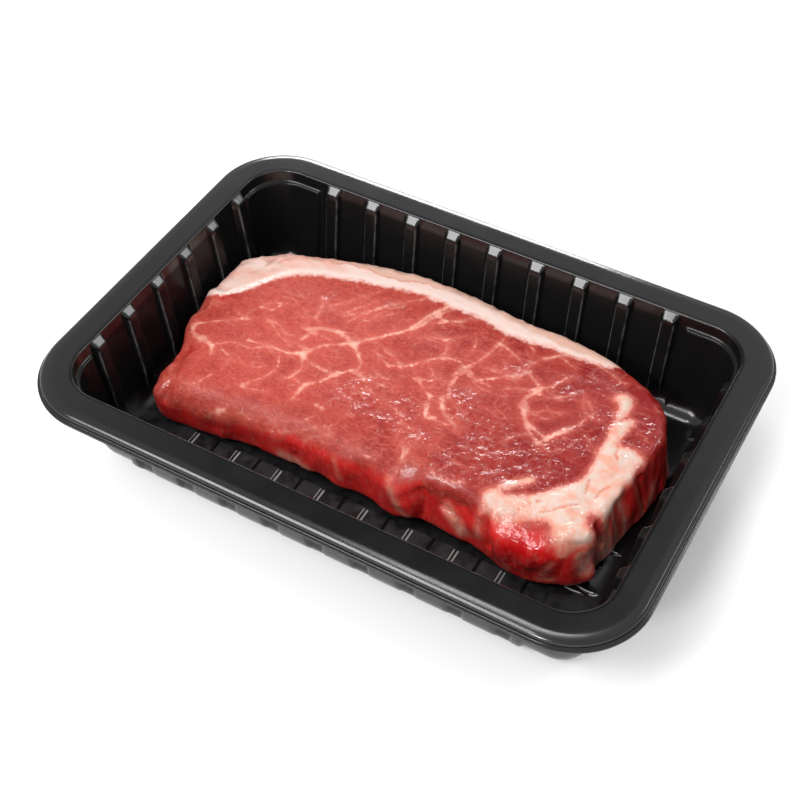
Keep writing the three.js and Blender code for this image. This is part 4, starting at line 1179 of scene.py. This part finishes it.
    # Fat cap: white next to the lean, tan on its skin side, pink blotches at its left end.
    skin_line = m.total(rind, (coarse, 3.0), (edge, 0.8))
    cap_color = m.mix(m.remap(skin_line, -1.0, 1.4), CAP_WHITE, CAP_SKIN)
    skin_fold = m.times(m.remap(m.math("ABSOLUTE", skin_line), 0.1, 0.8, 0.75, 0),
                        m.remap(x_mm, -10, -24))
    cap_color = m.mix(skin_fold, cap_color, CAP_FOLD)
    blotch = m.times(m.remap(m.noise(m.place((0.6, 1, 1)), 7, 3), 0.3, 0.62, 0.3, 1),
                     m.remap(x_mm, -38, -62, 0.3, 0.85))
    blotch = m.times(blotch, m.remap(cap, 1.5, 4.5))
    cap_color = m.mix(blotch, cap_color, CAP_PINK)
    cap_color = m.mix(m.times(side, 0.6), cap_color, CAP_SKIN)
    cap_line = m.total(cap, (coarse, 2.6), (edge, 3.0))
    cap_color = m.mix(m.remap(cap_line, -0.4, 2.4, 0.65, 0), cap_color, CAP_RIM)
    frost = m.times(m.remap(m.noise(place, 1.7, 2), 0.44, 0.56, 0, 0.85),
                    m.remap(m.math("ABSOLUTE", m.math("SUBTRACT", cap, 1.4)), 0.4, 1.8, 1, 0))
    frost = m.times(frost, m.remap(x_mm, -70, -78))
    flesh = m.mix(m.remap(cap_line, -1.1, 0.8), flesh, cap_color)
    flesh = m.mix(frost, flesh, CAP_FROST)
    m.set(Base_Color=flesh)

    # The surface: a fine grain under a film that is thick where the steak is wet or raw.
    m.set(Roughness=m.remap(wet, 0, 1, 0.5, 0.32))
    grain = m.noise(m.place((1, 1, 0.5)), 0.8, 3, 0.6)
    relief = m.total(m.times(grain, 0.6), (fat, 0.3))
    m.set(Normal=m.bump(relief, 0.14))
    film = m.noise(warped, 1.7, 1, 0.5)
    m.set(Coat_Weight=m.math("MAXIMUM", m.remap(wet, 0, 0.8, 0.08, 0.65), raw))
    m.set(Coat_Roughness=0.06, Coat_Normal=m.bump(film, 0.42), Specular_IOR_Level=0.16)
    m.set(Subsurface_Weight=0.22, Subsurface_Radius=(1.0, 0.28, 0.14), Subsurface_Scale=0.0018)
    return m.material


# ---- Pieces ---------------------------------------------------------------------------------
tray = make_tray(tray_material())
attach(tray, "root")
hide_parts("tray")

steak = make_steak(steak_material())
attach(steak, "root")
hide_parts("steak_lean", "steak_fat_cap")

# ---- Floor, light and camera ----------------------------------------------------------------
FLOOR_HALF = 3000
LIGHT_AIM = Vector((0, 0, 0.03))
floor_look = Shading("studio_floor")
floor_look.set(Base_Color=(0.9, 0.9, 0.9, 1), Roughness=0.9)
corners = [(sx * FLOOR_HALF, sy * FLOOR_HALF, 0) for sx in (-1, 1) for sy in (-1, 1)]
studio_floor = mesh_object("studio_floor", corners, [(0, 2, 3, 1)], floor_look.material, {})


def direction(azimuth, elevation):
    """The unit vector towards a place in the studio. Azimuth 0 is in front, 90 to the right."""
    a, e = math.radians(azimuth), math.radians(elevation)
    return Vector((math.sin(a) * math.cos(e), -math.cos(a) * math.cos(e), math.sin(e)))


def make_world(strength, gap_direction, gap_reach, gap_strength):
    """A plain bright studio with one soft dark gap between its walls and its ceiling."""
    world = bpy.data.worlds.new("studio")
    world.use_nodes = True
    background = world.node_tree.nodes["Background"]
    background.inputs["Color"].default_value = (1, 1, 1, 1)
    nodes = Nodes(world.node_tree)
    towards = nodes.node("TexCoord").outputs["Generated"]
    nearness = nodes.node("VectorMath", (towards, gap_direction), "DOT_PRODUCT").outputs["Value"]
    edge = math.cos(math.radians(gap_reach))
    level = nodes.remap(nearness, edge, 1.0, strength, gap_strength)
    nodes.put(background.inputs["Strength"], level)
    bpy.context.scene.world = world


def area_light(name, azimuth, elevation, distance, size, radiance):
    """A soft light of that radiance, aimed at the tray."""
    light = bpy.data.lights.new(name, "AREA")
    light.shape = "RECTANGLE"
    light.size, light.size_y = size
    light.energy = radiance * math.pi * size[0] * size[1]
    obj = bpy.data.objects.new(name, light)
    back = direction(azimuth, elevation)
    obj.location = LIGHT_AIM + back * distance
    obj.rotation_euler = (-back).to_track_quat("-Z", "Y").to_euler()
    bpy.context.scene.collection.objects.link(obj)


make_world(0.8, direction(212, 55.5), 17, 0.06)
area_light("light_top", 210, 76, 1.2, (0.45, 0.12), 14)
area_light("light_back", 206, 22.5, 1.3, (0.6, 0.14), 26)
area_light("light_front", -30, 49, 1.3, (0.6, 0.45), 12)
area_light("light_right", 133, 40, 1.2, (0.4, 0.2), 8)
area_light("light_low", 0, 38, 1.2, (0.2, 0.14), 50)

# The camera of the photograph, fitted to the tray's rim and floor pads. Angles are in degrees.
CAMERA_AZIMUTH, CAMERA_ELEVATION, CAMERA_ROLL = 29.93, 48.36, -0.47
CAMERA_TARGET, CAMERA_DISTANCE = Vector((6.97, -17.76, 42)) * MM, 0.48503
camera_data = bpy.data.cameras.new("camera")
camera_data.sensor_width = 36
camera_data.lens = 63.31
camera = bpy.data.objects.new("camera", camera_data)
bpy.context.scene.collection.objects.link(camera)
azimuth, roll = math.radians(CAMERA_AZIMUTH), math.radians(CAMERA_ROLL)
back = direction(CAMERA_AZIMUTH, CAMERA_ELEVATION)
right = Vector((math.cos(azimuth), math.sin(azimuth), 0))
up = back.cross(right)
right, up = (right * math.cos(roll) + up * math.sin(roll),
             up * math.cos(roll) - right * math.sin(roll))
turn = Matrix((right, up, back)).transposed().to_4x4()
camera.matrix_world = Matrix.Translation(CAMERA_TARGET + back * CAMERA_DISTANCE) @ turn
bpy.context.scene.camera = camera
bpy.context.scene.view_settings.view_transform = "Standard"
